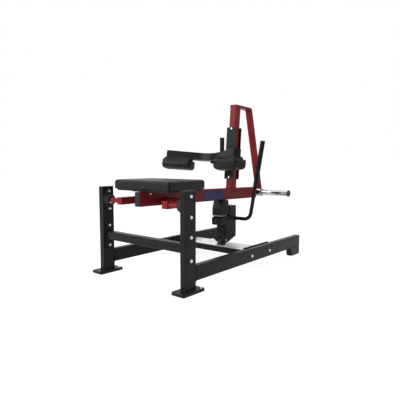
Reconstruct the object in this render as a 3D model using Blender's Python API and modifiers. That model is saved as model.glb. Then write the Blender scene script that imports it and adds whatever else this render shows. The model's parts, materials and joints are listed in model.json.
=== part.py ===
"""Plate-loaded seated calf raise machine.

Metres, +Z up. The floor is at z = 0 and the machine's centre plane is x = 0. The user sits at the front,
at low y, and faces +y. The whole machine is moved at the end so that y = 0 is the middle of its length.
Each length that can be chosen by itself is named once below.
"""

import math

import bmesh
import bpy
from mathutils import Matrix, Vector

# Clearances
GAP = 0.0003
SLIDE = 0.0010
TURN = 0.0004
WELD = 0.000005
MERGE = 0.0001

# Floor frame: rectangular steel tube
FRAME_WIDTH = 0.874
TUBE_NARROW = 0.050
TUBE_WIDE = 0.100
TUBE_WALL = 0.004
TUBE_CORNER = 0.006
UPRIGHT_HEIGHT = 0.651
UPRIGHT_CAP = 0.005
PLATE_THICK = 0.020
PLATE_WIDTH = 0.108
PLATE_LENGTH = 0.203
PLATE_HOLE = 0.018
RAIL_BOTTOM = 0.070
RAIL_END = 1.556
CAP_THICK = 0.004
CAP_PLUG = 0.012
FOOT_TOP_LENGTH = 0.166
FOOT_SLANT = 0.022

# Front crossbar between the uprights
CROSSBAR_SIZE = 0.060
CROSSBAR_FRONT = 0.023
CROSSBAR_MIDDLE = 0.284
CROSSBAR_FLANGE_HEIGHT = 0.200
CROSSBAR_FLANGE_WIDTH = 0.076
FLANGE_THICK = 0.008

# Foot platform between the rails
PLATFORM_FRONT = 0.872
PLATFORM_DEPTH = 0.200
PLATFORM_HEIGHT = 0.052
TREAD_THICK = 0.003
PLATFORM_FLANGE_FRONT = 0.725
PLATFORM_FLANGE_LENGTH = 0.360
PLATFORM_FLANGE_HEIGHT = 0.106

# Pivot of the lever: two flange bearings on the uprights
PIVOT_Y = 0.050
PIVOT_BELOW_TOP = 0.100
SHAFT_RADIUS = 0.0175
BEARING_BOLTS = 0.130
BEARING_HOLE = 0.014
BEARING_EAR = 0.020
BEARING_RING = 0.046
BEARING_FLANGE = 0.013
BEARING_HUB_RADIUS = 0.039
BEARING_HUB_TAPER = 0.003
BEARING_HUB_CHAMFER = 0.004
BEARING_HUB = 0.034
BEARING_INSERT = 0.026
BEARING_INSERT_STEP = 0.005
BEARING_INSERT_LENGTH = 0.040

# Lever: side arms, main beam, mast and brace. Rises are counted from the pivot.
ARM_X = 0.229
ARM_SIZE = 0.052
ARM_FRONT = 0.026
ARM_LENGTH = 0.240
ARM_STUB = 0.050
BEAM_FRONT = 0.000
BEAM_LENGTH = 1.467
BEAM_RISE = 0.026
BEAM_FALL = 0.0181
MAST_BASE_Y = 1.089
MAST_RISE = 0.765
MAST_LEAN = 0.0867
STRAP_THICK = 0.020
STRAP_WIDTH = 0.050
STRAP_CORNER_Y = 1.360
STRAP_FALL = 0.0065
STRAP_BEND = 0.034
STRAP_FOOT = 0.010
GUIDE_WIDTH = 0.082
GUIDE_THICK = 0.010
GUIDE_RISE = 0.135
GUIDE_LENGTH = 0.452
PIN_HOLE_PITCH = 0.050
PIN_HOLE_COUNT = 7
PIN_HOLES_BELOW = 2

# Weight sleeves at the rear of the beam
BOSS_RADIUS = 0.0375
BOSS_HALF = 0.069
SLEEVE_RADIUS = 0.025
SLEEVE_END_X = 0.340
SLEEVE_CAP_RADIUS = 0.030
SLEEVE_CAP = 0.010

# Seat
SEAT_WIDTH = 0.546
SEAT_FRONT = 0.024
SEAT_DEPTH = 0.360
SEAT_RISE = 0.089
SEAT_PAD = 0.058
SEAT_CROWN = 0.006
SEAT_WAIST = 0.005
SEAT_EDGE = 0.016
SEAT_BOARD = 0.010
SEAT_INSET = 0.012
BRACKET_WIDTH = 0.200

# Swinging catch that holds the lever up. Its own places are counted from its pivot.
CATCH_WIDTH = 0.100
CATCH_PIVOT_Y = 0.950
CATCH_PIVOT_RISE = 0.0397
CATCH_TOP_DROP = 0.178
CATCH_EYE = 0.024
CATCH_LIP = -0.070
CATCH_LIP_DEPTH = 0.062
CATCH_FRONT = 0.001
CATCH_FRONT_LOW = 0.048
CATCH_CHIN = 0.014
CATCH_TOE = 0.045
CATCH_TOE_DROP = 0.018
CATCH_HEEL = 0.019
CATCH_REAR = 0.148
CATCH_HEAD = 0.056
CATCH_HEAD_RISE = 0.084
CATCH_PIN = 0.008
CATCH_PIN_OUT = 0.006
LUG_WIDTH = 0.038
LUG_EYE = 0.021
LUG_HALF_LENGTH = 0.040

# Stop bracket under the beam, and the pale wear pad between it and the catch
STOP_AHEAD = 0.064
STOP_TOP_LENGTH = 0.073
STOP_LOW_LENGTH = 0.106
STOP_SET_BACK = 0.006
STOP_NECK = 0.055
STOP_PAD_INSET = 0.002
STOP_PAD_LENGTH = 0.072
STOP_PAD_THICK = 0.008

# Release handle on the catch
HANDLE_RADIUS = 0.016
HANDLE_BELOW_TOP = 0.035
HANDLE_OUT = 0.184
HANDLE_BEND = 0.065
HANDLE_HEIGHT = 0.675
HANDLE_SPLAY = 0.103
HANDLE_BACK = 0.030
HANDLE_GRIP_RADIUS = 0.020
HANDLE_GRIP_LENGTH = 0.400
HANDLE_GRIP_END = 0.004

# Thigh pad carriage
CARRIAGE_RISE = 0.317
CARRIAGE_HEIGHT = 0.130
CARRIAGE_WALL = 0.008
BAR_SIZE = 0.060
BAR_HALF = 0.346
BAR_END_Y = 0.640
BAR_END_RISE = 0.386
BAR_SWEEP = 27.5
BAR_BEND = 0.240
BAR_TILT = 11.3
LINK_DROP = 0.012
GRIP_Y = 0.955
GRIP_RADIUS = 0.013
GRIP_SLEEVE = 0.019
GRIP_START = 0.024
GRIP_HEIGHT = 0.177
THIGH_PAD_X = 0.262
THIGH_PAD_Y = 0.704
THIGH_PAD_LENGTH = 0.249
THIGH_PAD_DEPTH = 0.117
THIGH_PAD_HEIGHT = 0.080
THIGH_PAD_TOE = 15.5
THIGH_PAD_LOW_RADIUS = 0.038
THIGH_PAD_TOP_RADIUS = 0.013
THIGH_PAD_END_RADIUS = 0.012
THIGH_PAD_CROWN = 0.004
THIGH_PAD_WAIST = 0.003
THIGH_BOARD = 0.010
THIGH_BOARD_INSET = 0.012

# Pull pin of the carriage
PIN_RADIUS = 0.005
PIN_RISE = 0.319
PIN_NECK = 0.004
PIN_BARREL = 0.011
PIN_BARREL_LENGTH = 0.022
PIN_KNOB = 0.014
PIN_KNOB_LENGTH = 0.020
PIN_KNOB_EDGE = 0.003
PIN_KNOB_WAIST = 0.004

# Chamfers of turned ends
CHAMFER = 0.001
WIDE_CHAMFER = 0.002

# Counts that set how smooth a round shape is
ROUND = 32
SMALL_ROUND = 16
ARC_STEPS = 10
CORNER_STEPS = 3
EDGE_STEPS = 2
PAD_STEPS = 4
SEAT_CUTS_ACROSS = 7
SEAT_CUTS_ALONG = 5

# Edges that turn by more degrees than this are rounded
SHARP_ANGLE = 50

# A point of the seat beyond this share of its half size lies on its side
SIDE_SHARE = 0.999

QUARTER = math.pi / 2

# Derived places
UPRIGHT_X = FRAME_WIDTH / 2 - TUBE_NARROW / 2
INNER_X = FRAME_WIDTH / 2 - TUBE_NARROW
UPRIGHT_Y = TUBE_WIDE / 2
RAIL_MIDDLE = RAIL_BOTTOM + TUBE_WIDE / 2
TREAD_TOP = RAIL_BOTTOM + PLATFORM_HEIGHT + GAP + TREAD_THICK
PIVOT_Z = UPRIGHT_HEIGHT - PIVOT_BELOW_TOP
MAST_TOP_Z = PIVOT_Z + MAST_RISE
GUIDE_LOW_Z = PIVOT_Z + GUIDE_RISE
SEAT_BOTTOM = PIVOT_Z + SEAT_RISE
CARRIAGE_Z = PIVOT_Z + CARRIAGE_RISE
BAR_END_Z = PIVOT_Z + BAR_END_RISE
PIN_Z = PIVOT_Z + PIN_RISE
CATCH_PIVOT_Z = TREAD_TOP + CATCH_PIVOT_RISE
CATCH_TOP_Z = PIVOT_Z - CATCH_TOP_DROP
BEAM_REAR = BEAM_FRONT + BEAM_LENGTH
BEAM_ANGLE = math.atan(BEAM_FALL)
MAST_ANGLE = math.atan(MAST_LEAN)
TILT = math.radians(BAR_TILT)


def beam_z(y):
    """Height of the sloping beam's centre line."""
    return PIVOT_Z + BEAM_RISE - BEAM_FALL * y


def beam_top(y):
    return beam_z(y) + TUBE_WIDE / 2 / math.cos(BEAM_ANGLE)


def beam_bottom(y):
    return beam_z(y) - TUBE_WIDE / 2 / math.cos(BEAM_ANGLE)


MAST_BASE_Z = beam_top(MAST_BASE_Y)


def mast_y(z):
    """Place of the leaning mast's centre line at a height."""
    return MAST_BASE_Y + MAST_LEAN * (z - MAST_BASE_Z)


BOSS_Y = BEAM_REAR + CAP_THICK + 2 * GAP + BOSS_RADIUS
BOSS_Z = beam_z(BOSS_Y)

for leftover in list(bpy.data.objects):
    bpy.data.objects.remove(leftover, do_unlink=True)

PARTS = bpy.data.collections.new("calf_raise_machine")
CUTTERS = bpy.data.collections.new("cutters")
bpy.context.scene.collection.children.link(PARTS)
bpy.context.scene.collection.children.link(CUTTERS)


def finish(name, colour, roughness, metallic):
    material = bpy.data.materials.new(name)
    material.use_nodes = True
    shader = material.node_tree.nodes["Principled BSDF"]
    shader.inputs["Base Color"].default_value = (*colour, 1)
    shader.inputs["Roughness"].default_value = roughness
    shader.inputs["Metallic"].default_value = metallic
    return material


BLACK = finish("black_powder_coat", (0.020, 0.021, 0.022), 0.45, 0.0)
RED = finish("red_powder_coat", (0.42, 0.020, 0.030), 0.40, 0.0)
VINYL = finish("black_vinyl", (0.018, 0.018, 0.019), 0.38, 0.0)
PLASTIC = finish("black_plastic", (0.025, 0.025, 0.025), 0.50, 0.0)
RUBBER = finish("black_rubber", (0.030, 0.030, 0.030), 0.75, 0.0)
CHROME = finish("chrome", (0.80, 0.80, 0.81), 0.12, 1.0)
STEEL = finish("bright_steel", (0.66, 0.67, 0.68), 0.30, 1.0)
CAST_IRON = finish("grey_cast_iron", (0.16, 0.17, 0.17), 0.55, 0.6)
NYLON = finish("pale_nylon", (0.62, 0.62, 0.60), 0.45, 0.0)
BOARD = finish("painted_board", (0.022, 0.022, 0.022), 0.70, 0.0)


def add(name, data, material, location=(0, 0, 0), rotation=(0, 0, 0)):
    """A named object in the parts collection."""
    made = bpy.data.objects.new(name, data)
    PARTS.objects.link(made)
    made.location = location
    made.rotation_euler = rotation
    data.materials.append(material)
    return made


def joint_empty(name, location):
    """An empty on a joint's axis: the pieces of that body hang from it."""
    made = bpy.data.objects.new(name, None)
    made.empty_display_size = 0.05
    PARTS.objects.link(made)
    made.location = location
    return made


def as_cutter(made):
    PARTS.objects.unlink(made)
    CUTTERS.objects.link(made)
    made.hide_render = True
    made.display_type = "WIRE"
    return made


def boolean(made, other, operation):
    modifier = made.modifiers.new(operation.lower(), "BOOLEAN")
    modifier.operation = operation
    modifier.object = other
    return made


def bevel(made, width, segments=EDGE_STEPS):
    modifier = made.modifiers.new("rounded edges", "BEVEL")
    modifier.width = width
    modifier.segments = segments
    modifier.limit_method = "ANGLE"
    modifier.angle_limit = math.radians(SHARP_ANGLE)
    return made


def block(name, size, centre, material, rotation=(0, 0, 0)):
    mesh = bpy.data.meshes.new(name)
    shape = bmesh.new()
    bmesh.ops.create_cube(shape, size=1, matrix=Matrix.Diagonal((*size, 1)))
    shape.to_mesh(mesh)
    shape.free()
    return add(name, mesh, material, centre, rotation)


def rounded_rectangle(width, height, radius):
    """Corner arcs of a rectangle round the origin, anticlockwise."""
    points = []
    for quarter in range(4):
        turn = quarter * QUARTER
        sign_x = 1 if quarter in (0, 3) else -1
        sign_y = 1 if quarter in (0, 1) else -1
        for step in range(CORNER_STEPS + 1):
            angle = turn + step * QUARTER / CORNER_STEPS
            points.append(
                (
                    sign_x * (width / 2 - radius) + radius * math.cos(angle),
                    sign_y * (height / 2 - radius) + radius * math.sin(angle),
                )
            )
    return points


def circle(radius, centre=(0, 0), steps=SMALL_ROUND):
    turns = [2 * math.pi * step / steps for step in range(steps)]
    return [(centre[0] + radius * math.cos(t), centre[1] + radius * math.sin(t)) for t in turns]


def arc(centre, radius, start, end, steps=ARC_STEPS):
    """Points of an arc, with its angles in degrees."""
    turns = [math.radians(start + (end - start) * step / steps) for step in range(steps + 1)]
    return [(centre[0] + radius * math.cos(t), centre[1] + radius * math.sin(t)) for t in turns]


FLAT = (0, 0, 0)
FACING_X = (QUARTER, 0, QUARTER)
ALONG_X = (0, QUARTER, 0)
ALONG_Y = (QUARTER, 0, 0)


def plate(name, outlines, thickness, material, centre, rotation=FLAT):
    """A flat piece: the first outline is its edge and the others are holes.

    FACING_X lays the outline's own x and y along the world's y and z.
    """
    curve = bpy.data.curves.new(name, "CURVE")
    curve.dimensions = "2D"
    curve.fill_mode = "BOTH"
    curve.extrude = thickness / 2
    for outline in outlines:
        spline = curve.splines.new("POLY")
        spline.points.add(len(outline) - 1)
        for point, (x, y) in zip(spline.points, outline):
            point.co = (x, y, 0, 1)
        spline.use_cyclic_u = True
    return add(name, curve, material, centre, rotation)


def tube(name, width, height, length, material, centre, rotation=FLAT):
    """A hollow rectangular tube, open at both ends, along its own z."""
    outer = rounded_rectangle(width, height, TUBE_CORNER)
    inner = rounded_rectangle(width - 2 * TUBE_WALL, height - 2 * TUBE_WALL, TUBE_CORNER - TUBE_WALL)
    return plate(name, [outer, inner], length, material, centre, rotation)


def to_mesh(made):
    """The same object as a mesh with its caps welded, which a Boolean can take."""
    bpy.context.view_layer.update()
    graph = bpy.context.evaluated_depsgraph_get()
    mesh = bpy.data.meshes.new_from_object(made.evaluated_get(graph))
    shape = bmesh.new()
    shape.from_mesh(mesh)
    bmesh.ops.remove_doubles(shape, verts=shape.verts, dist=WELD)
    bmesh.ops.recalc_face_normals(shape, faces=shape.faces)
    shape.to_mesh(mesh)
    shape.free()
    name = made.name
    place = made.matrix_world.copy()
    curve = made.data
    mesh.materials.clear()
    mesh.materials.append(curve.materials[0])
    bpy.data.objects.remove(made, do_unlink=True)
    bpy.data.curves.remove(curve)
    meshed = bpy.data.objects.new(name, mesh)
    PARTS.objects.link(meshed)
    meshed.matrix_world = place
    return meshed


def turned(name, profile, material, centre, rotation=FLAT, steps=ROUND, closed=False):
    """A turned piece about its own z, from (radius, height) pairs that run down its outer side."""
    mesh = bpy.data.meshes.new(name)
    points = [(radius, 0, height) for radius, height in profile]
    edges = [(i, i + 1) for i in range(len(points) - 1)]
    if closed:
        edges.append((len(points) - 1, 0))
    mesh.from_pydata(points, edges, [])
    made = add(name, mesh, material, centre, rotation)
    screw = made.modifiers.new("turned", "SCREW")
    screw.axis = "Z"
    screw.steps = steps
    screw.render_steps = steps
    screw.use_merge_vertices = True
    screw.merge_threshold = MERGE
    screw.use_smooth_shade = True
    return made


def rod_profile(radius, length, chamfer):
    half = length / 2
    return [
        (0, half),
        (radius - chamfer, half),
        (radius, half - chamfer),
        (radius, chamfer - half),
        (radius - chamfer, -half),
        (0, -half),
    ]


def filleted(corners, radius):
    """A path in space through the corners, each inner one rounded to the radius."""
    path = [Vector(corners[0])]
    for before, corner, after in zip(corners, corners[1:], corners[2:]):
        corner = Vector(corner)
        back = (Vector(before) - corner).normalized()
        ahead = (Vector(after) - corner).normalized()
        half = back.angle(ahead) / 2
        centre = corner + (back + ahead).normalized() * radius / math.sin(half)
        start = (corner + back * radius / math.tan(half) - centre).normalized()
        end = (corner + ahead * radius / math.tan(half) - centre).normalized()
        for step in range(ARC_STEPS + 1):
            path.append(centre + start.slerp(end, step / ARC_STEPS) * radius)
    path.append(Vector(corners[-1]))
    return path


def bent_rod(name, path, radius, material):
    """A round rod with flat ends along a path."""
    curve = bpy.data.curves.new(name, "CURVE")
    curve.dimensions = "3D"
    curve.bevel_depth = radius
    curve.bevel_resolution = CORNER_STEPS
    curve.use_fill_caps = True
    spline = curve.splines.new("POLY")
    spline.points.add(len(path) - 1)
    for spot, place in zip(spline.points, path):
        spot.co = (*place, 1)
    return add(name, curve, material)


def offset_strip(line, thickness):
    """A closed outline: the line itself, then the same line moved to its left by the thickness."""
    moved = []
    for i, point in enumerate(line):
        before = Vector(line[max(i - 1, 0)])
        after = Vector(line[min(i + 1, len(line) - 1)])
        along = (after - before).normalized()
        here = Vector(point)
        if 0 < i < len(line) - 1:
            reach = thickness / math.cos((here - before).angle(along))
        else:
            reach = thickness
        moved.append((here.x - along.y * reach, here.y + along.x * reach))
    return list(line) + moved[::-1]


def cushion(name, size, crown, waist, edge, material, centre):
    """A stuffed pad: crowned on top, drawn in along its sides between the corners, rounded edges."""
    length, depth, _ = size
    mesh = bpy.data.meshes.new(name)
    shape = bmesh.new()
    bmesh.ops.create_cube(shape, size=1, matrix=Matrix.Diagonal((*size, 1)))
    for axis, span, count in ((0, length, SEAT_CUTS_ACROSS), (1, depth, SEAT_CUTS_ALONG)):
        normal = Vector((0, 0, 0))
        normal[axis] = 1
        for step in range(1, count + 1):
            place = normal * span * (step / (count + 1) - 0.5)
            everything = shape.verts[:] + shape.edges[:] + shape.faces[:]
            bmesh.ops.bisect_plane(shape, geom=everything, plane_co=place, plane_no=normal)
    for vertex in shape.verts:
        across = 2 * vertex.co.x / length
        along = 2 * vertex.co.y / depth
        if vertex.co.z > 0:
            vertex.co.z += crown * (1 - across**2) * (1 - along**2)
        if abs(across) > SIDE_SHARE:
            vertex.co.x -= math.copysign(waist * (1 - along**2), across)
        if abs(along) > SIDE_SHARE:
            vertex.co.y -= math.copysign(waist * (1 - across**2), along)
    shape.to_mesh(mesh)
    shape.free()
    made = add(name, mesh, material, centre)
    bevel(made, edge, PAD_STEPS)
    mesh.shade_smooth()
    return made


def pad_section(depth, height, low_radius, top_radius):
    """A D lying on its back, in y and z: flat with small corners above, and well rounded below."""
    points = []
    corners = (
        (1, 1, top_radius, 0),
        (-1, 1, top_radius, 90),
        (-1, -1, low_radius, 180),
        (1, -1, low_radius, 270),
    )
    for sign_y, sign_z, radius, start in corners:
        centre = (sign_y * (depth / 2 - radius), sign_z * (height / 2 - radius))
        points += arc(centre, radius, start, start + 90, PAD_STEPS)
    return points


def rounded_pad(name, material, centre, rotation):
    """A thigh pad: its D section is carried along it, drawn in at the middle and rounded at both ends."""
    end = THIGH_PAD_END_RADIUS
    flat = THIGH_PAD_LENGTH / 2 - end
    stations = []
    for step in range(PAD_STEPS):
        turn = QUARTER * step / PAD_STEPS
        stations.append((flat + end * math.cos(turn), end * (1 - math.sin(turn))))
    stations += [(flat * (1 - step / PAD_STEPS), 0) for step in range(PAD_STEPS + 1)]
    stations += [(-place, inset) for place, inset in stations[-2::-1]]
    mesh = bpy.data.meshes.new(name)
    shape = bmesh.new()
    loops = []
    for place, inset in stations:
        middle = 1 - (2 * place / THIGH_PAD_LENGTH) ** 2
        depth = THIGH_PAD_DEPTH - 2 * inset - 2 * THIGH_PAD_WAIST * middle
        height = THIGH_PAD_HEIGHT - 2 * inset - THIGH_PAD_CROWN * (1 - middle)
        low_radius = THIGH_PAD_LOW_RADIUS - inset
        top_radius = THIGH_PAD_TOP_RADIUS - inset
        lift = THIGH_PAD_CROWN * (1 - middle) / 2
        section = pad_section(depth, height, low_radius, top_radius)
        ring = [shape.verts.new((place, y, z + lift)) for y, z in section]
        loops.append([shape.edges.new(pair) for pair in zip(ring, ring[1:] + ring[:1])])
    for first, second in zip(loops, loops[1:]):
        bmesh.ops.bridge_loops(shape, edges=first + second)
    for last in (loops[0], loops[-1]):
        bmesh.ops.contextual_create(shape, geom=last)
    bmesh.ops.recalc_face_normals(shape, faces=shape.faces)
    shape.to_mesh(mesh)
    shape.free()
    mesh.shade_smooth()
    return add(name, mesh, material, centre, rotation)


SIDES = (("left", -1), ("right", 1))

lever = joint_empty("lever_axis", (0, PIVOT_Y, PIVOT_Z))
carriage = joint_empty("carriage_axis", (0, mast_y(CARRIAGE_Z), CARRIAGE_Z))
lock = joint_empty("lock_axis", (0, mast_y(PIN_Z), PIN_Z))
catch = joint_empty("catch_axis", (0, CATCH_PIVOT_Y, CATCH_PIVOT_Z))
frame = joint_empty("frame_origin", (0, 0, 0))
BODIES = (frame, lever, carriage, lock, catch)


def hang(made, body):
    """Parents a piece that is placed in world coordinates to its body's empty."""
    made.parent = body
    made.matrix_parent_inverse = Matrix.Translation(body.location).inverted()
    return made


def build_uprights():
    low = PLATE_THICK + GAP
    high = UPRIGHT_HEIGHT - UPRIGHT_CAP - GAP
    for side, sign in SIDES:
        centre = (sign * UPRIGHT_X, UPRIGHT_Y, (low + high) / 2)
        hang(tube(f"upright_{side}", TUBE_NARROW, TUBE_WIDE, high - low, BLACK, centre), frame)
        outline = rounded_rectangle(TUBE_NARROW, TUBE_WIDE, TUBE_CORNER)
        top = (sign * UPRIGHT_X, UPRIGHT_Y, UPRIGHT_HEIGHT - UPRIGHT_CAP / 2)
        hang(plate(f"upright_cap_{side}", [outline], UPRIGHT_CAP, PLASTIC, top), frame)
        edge = rounded_rectangle(PLATE_WIDTH, PLATE_LENGTH, TUBE_CORNER)
        spot_x = (PLATE_WIDTH + TUBE_NARROW) / 4
        spot_y = (PLATE_LENGTH + TUBE_WIDE) / 4
        holes = [circle(PLATE_HOLE / 2, (x * spot_x, x * spot_y)) for x in (-1, 1)]
        foot = (sign * UPRIGHT_X, UPRIGHT_Y, PLATE_THICK / 2)
        hang(plate(f"base_plate_{side}", [edge, *holes], PLATE_THICK, BLACK, foot), frame)


def build_rails():
    start = TUBE_WIDE + GAP
    length = RAIL_END - start
    plug_width = TUBE_NARROW - 2 * TUBE_WALL - 2 * GAP
    plug_height = TUBE_WIDE - 2 * TUBE_WALL - 2 * GAP
    for side, sign in SIDES:
        x = sign * UPRIGHT_X
        centre = (x, start + length / 2, RAIL_MIDDLE)
        hang(tube(f"rail_{side}", TUBE_NARROW, TUBE_WIDE, length, BLACK, centre, ALONG_Y), frame)
        lid = to_mesh(
            plate(
                f"rail_cap_{side}",
                [rounded_rectangle(TUBE_NARROW, TUBE_WIDE, TUBE_CORNER)],
                CAP_THICK,
                PLASTIC,
                (x, RAIL_END + GAP + CAP_THICK / 2, RAIL_MIDDLE),
                ALONG_Y,
            )
        )
        plug = plate(
            f"rail_plug_{side}",
            [rounded_rectangle(plug_width, plug_height, TUBE_CORNER - TUBE_WALL)],
            CAP_PLUG + CAP_THICK / 2,
            PLASTIC,
            (x, RAIL_END + GAP - CAP_PLUG / 2 + CAP_THICK / 4, RAIL_MIDDLE),
            ALONG_Y,
        )
        boolean(hang(lid, frame), as_cutter(to_mesh(plug)), "UNION")
        rear = RAIL_END + GAP + CAP_THICK
        outline = [
            (rear - FOOT_TOP_LENGTH + FOOT_SLANT, 0),
            (rear, 0),
            (rear, RAIL_BOTTOM - GAP),
            (rear - FOOT_TOP_LENGTH, RAIL_BOTTOM - GAP),
        ]
        foot = plate(f"rail_foot_{side}", [outline], TUBE_NARROW, BLACK, (x, 0, 0), FACING_X)
        hang(foot, frame)


def build_crossbar():
    """A square tube with a bolting flange welded on each end."""
    reach = INNER_X - GAP
    middle_y = CROSSBAR_FRONT + CROSSBAR_SIZE / 2
    bar = block(
        "front_crossbar",
        (2 * reach - FLANGE_THICK, CROSSBAR_SIZE, CROSSBAR_SIZE),
        (0, middle_y, CROSSBAR_MIDDLE),
        BLACK,
    )
    bevel(bar, TUBE_CORNER, CORNER_STEPS)
    hang(bar, frame)
    for side, sign in SIDES:
        flange = plate(
            f"crossbar_flange_{side}",
            [rounded_rectangle(CROSSBAR_FLANGE_WIDTH, CROSSBAR_FLANGE_HEIGHT, TUBE_CORNER)],
            FLANGE_THICK,
            BLACK,
            (sign * (reach - FLANGE_THICK / 2), UPRIGHT_Y, CROSSBAR_MIDDLE),
            FACING_X,
        )
        boolean(bar, as_cutter(to_mesh(flange)), "UNION")


def build_platform():
    """The foot beam with its end flanges bolted inside the rails, and the bright tread on top."""
    reach = INNER_X - GAP
    middle_y = PLATFORM_FRONT + PLATFORM_DEPTH / 2
    beam = block(
        "platform_beam",
        (2 * reach - FLANGE_THICK, PLATFORM_DEPTH, PLATFORM_HEIGHT),
        (0, middle_y, RAIL_BOTTOM + PLATFORM_HEIGHT / 2),
        BLACK,
    )
    bevel(beam, TUBE_CORNER / 2)
    hang(beam, frame)
    for side, sign in SIDES:
        flange = plate(
            f"platform_flange_{side}",
            [rounded_rectangle(PLATFORM_FLANGE_LENGTH, PLATFORM_FLANGE_HEIGHT, TUBE_CORNER)],
            FLANGE_THICK,
            BLACK,
            (
                sign * (reach - FLANGE_THICK / 2),
                PLATFORM_FLANGE_FRONT + PLATFORM_FLANGE_LENGTH / 2,
                RAIL_BOTTOM + PLATFORM_FLANGE_HEIGHT / 2,
            ),
            FACING_X,
        )
        boolean(beam, as_cutter(to_mesh(flange)), "UNION")
    tread = block(
        "tread_plate",
        (2 * (reach - FLANGE_THICK - SLIDE), PLATFORM_DEPTH - 2 * SLIDE, TREAD_THICK),
        (0, middle_y, TREAD_TOP - TREAD_THICK / 2),
        STEEL,
    )
    hang(tread, frame)


def flange_outline():
    """A two-ear flange: the hull of a middle ring and an ear at each bolt."""
    spread = BEARING_BOLTS / 2
    lean = math.degrees(math.acos((BEARING_RING - BEARING_EAR) / spread))
    points = []
    for turn in (0, 180):
        sign = 1 if turn == 0 else -1
        ear = arc((0, sign * spread), BEARING_EAR, turn + 90 - lean, turn + 90 + lean)
        ring = arc((0, 0), BEARING_RING, turn + 90 + lean, turn + 270 - lean)
        points += ear + ring
    return points


def build_bearings():
    """A cast housing bolted inside each upright, with the bearing's inner ring on the shaft."""
    bore = BEARING_INSERT + TURN
    for side, sign in SIDES:
        face = INNER_X - GAP
        inward = (0, -sign * QUARTER, 0)
        holes = [circle(BEARING_HOLE / 2, (0, end * BEARING_BOLTS / 2)) for end in (-1, 1)]
        housing = to_mesh(
            plate(
                f"bearing_housing_{side}",
                [flange_outline(), *holes],
                BEARING_FLANGE,
                CAST_IRON,
                (sign * (face - BEARING_FLANGE / 2), PIVOT_Y, PIVOT_Z),
                FACING_X,
            )
        )
        hang(housing, frame)
        outer = BEARING_HUB / 2
        profile = [
            (0, outer),
            (BEARING_HUB_RADIUS - BEARING_HUB_CHAMFER, outer),
            (BEARING_HUB_RADIUS, outer - BEARING_HUB_CHAMFER),
            (BEARING_HUB_RADIUS + BEARING_HUB_TAPER, -outer),
            (0, -outer),
        ]
        middle_x = sign * (face - BEARING_FLANGE / 2 - BEARING_HUB / 2)
        hub = turned(
            f"bearing_hub_{side}", profile, CAST_IRON, (middle_x, PIVOT_Y, PIVOT_Z), inward
        )
        boolean(housing, as_cutter(hub), "UNION")
        opening = turned(
            f"bearing_bore_{side}",
            rod_profile(bore, 3 * BEARING_HUB, CHAMFER),
            CAST_IRON,
            (middle_x, PIVOT_Y, PIVOT_Z),
            inward,
        )
        boolean(housing, as_cutter(opening), "DIFFERENCE")
        half = BEARING_INSERT_LENGTH / 2
        ring = [
            (BEARING_INSERT, half - BEARING_FLANGE),
            (BEARING_INSERT, -half),
            (SHAFT_RADIUS + GAP, -half),
            (SHAFT_RADIUS + GAP, half),
            (BEARING_INSERT - BEARING_INSERT_STEP, half),
            (BEARING_INSERT - BEARING_INSERT_STEP, half - BEARING_FLANGE),
        ]
        insert = turned(
            f"bearing_insert_{side}",
            ring,
            STEEL,
            (sign * (face - SLIDE - half), PIVOT_Y, PIVOT_Z),
            inward,
            closed=True,
        )
        hang(insert, lever)


def build_pivot_frame():
    """Side arms that carry the shafts, each joined to the beam by a short stub across."""
    inner = TUBE_NARROW / 2 + GAP
    for side, sign in SIDES:
        middle = (sign * ARM_X, ARM_FRONT + ARM_LENGTH / 2, PIVOT_Z)
        arm = block(f"pivot_arm_{side}", (ARM_SIZE, ARM_LENGTH, ARM_SIZE), middle, RED)
        reach = ARM_X - inner
        stub = block(
            f"arm_stub_{side}",
            (reach, ARM_STUB, ARM_SIZE),
            (sign * (inner + reach / 2), ARM_FRONT + ARM_LENGTH - ARM_STUB / 2, PIVOT_Z),
            RED,
        )
        boolean(hang(arm, lever), as_cutter(stub), "UNION")
        bevel(arm, TUBE_CORNER / 2)
        start = ARM_X + ARM_SIZE / 2 + GAP
        end = INNER_X - SLIDE
        shaft = turned(
            f"pivot_shaft_{side}",
            rod_profile(SHAFT_RADIUS, end - start, CHAMFER),
            RED,
            (sign * (start + end) / 2, PIVOT_Y, PIVOT_Z),
            ALONG_X,
        )
        hang(shaft, lever)


def build_beam():
    """The main beam slopes down to the rear, with a plug in front and a welded plate behind."""
    along = Vector((0, math.cos(BEAM_ANGLE), -math.sin(BEAM_ANGLE)))
    front = Vector((0, BEAM_FRONT, beam_z(BEAM_FRONT)))
    length = (BEAM_REAR - BEAM_FRONT) / math.cos(BEAM_ANGLE)
    slope = (QUARTER - BEAM_ANGLE, 0, 0)
    beam = tube(
        "main_beam", TUBE_NARROW, TUBE_WIDE, length, RED, front + along * length / 2, slope
    )
    hang(beam, lever)
    outline = rounded_rectangle(TUBE_NARROW, TUBE_WIDE, TUBE_CORNER)
    for name, place, material in (
        ("beam_front_cap", -GAP - CAP_THICK / 2, PLASTIC),
        ("beam_rear_plate", length + GAP + CAP_THICK / 2, RED),
    ):
        hang(plate(name, [outline], CAP_THICK, material, front + along * place, slope), lever)


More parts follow.
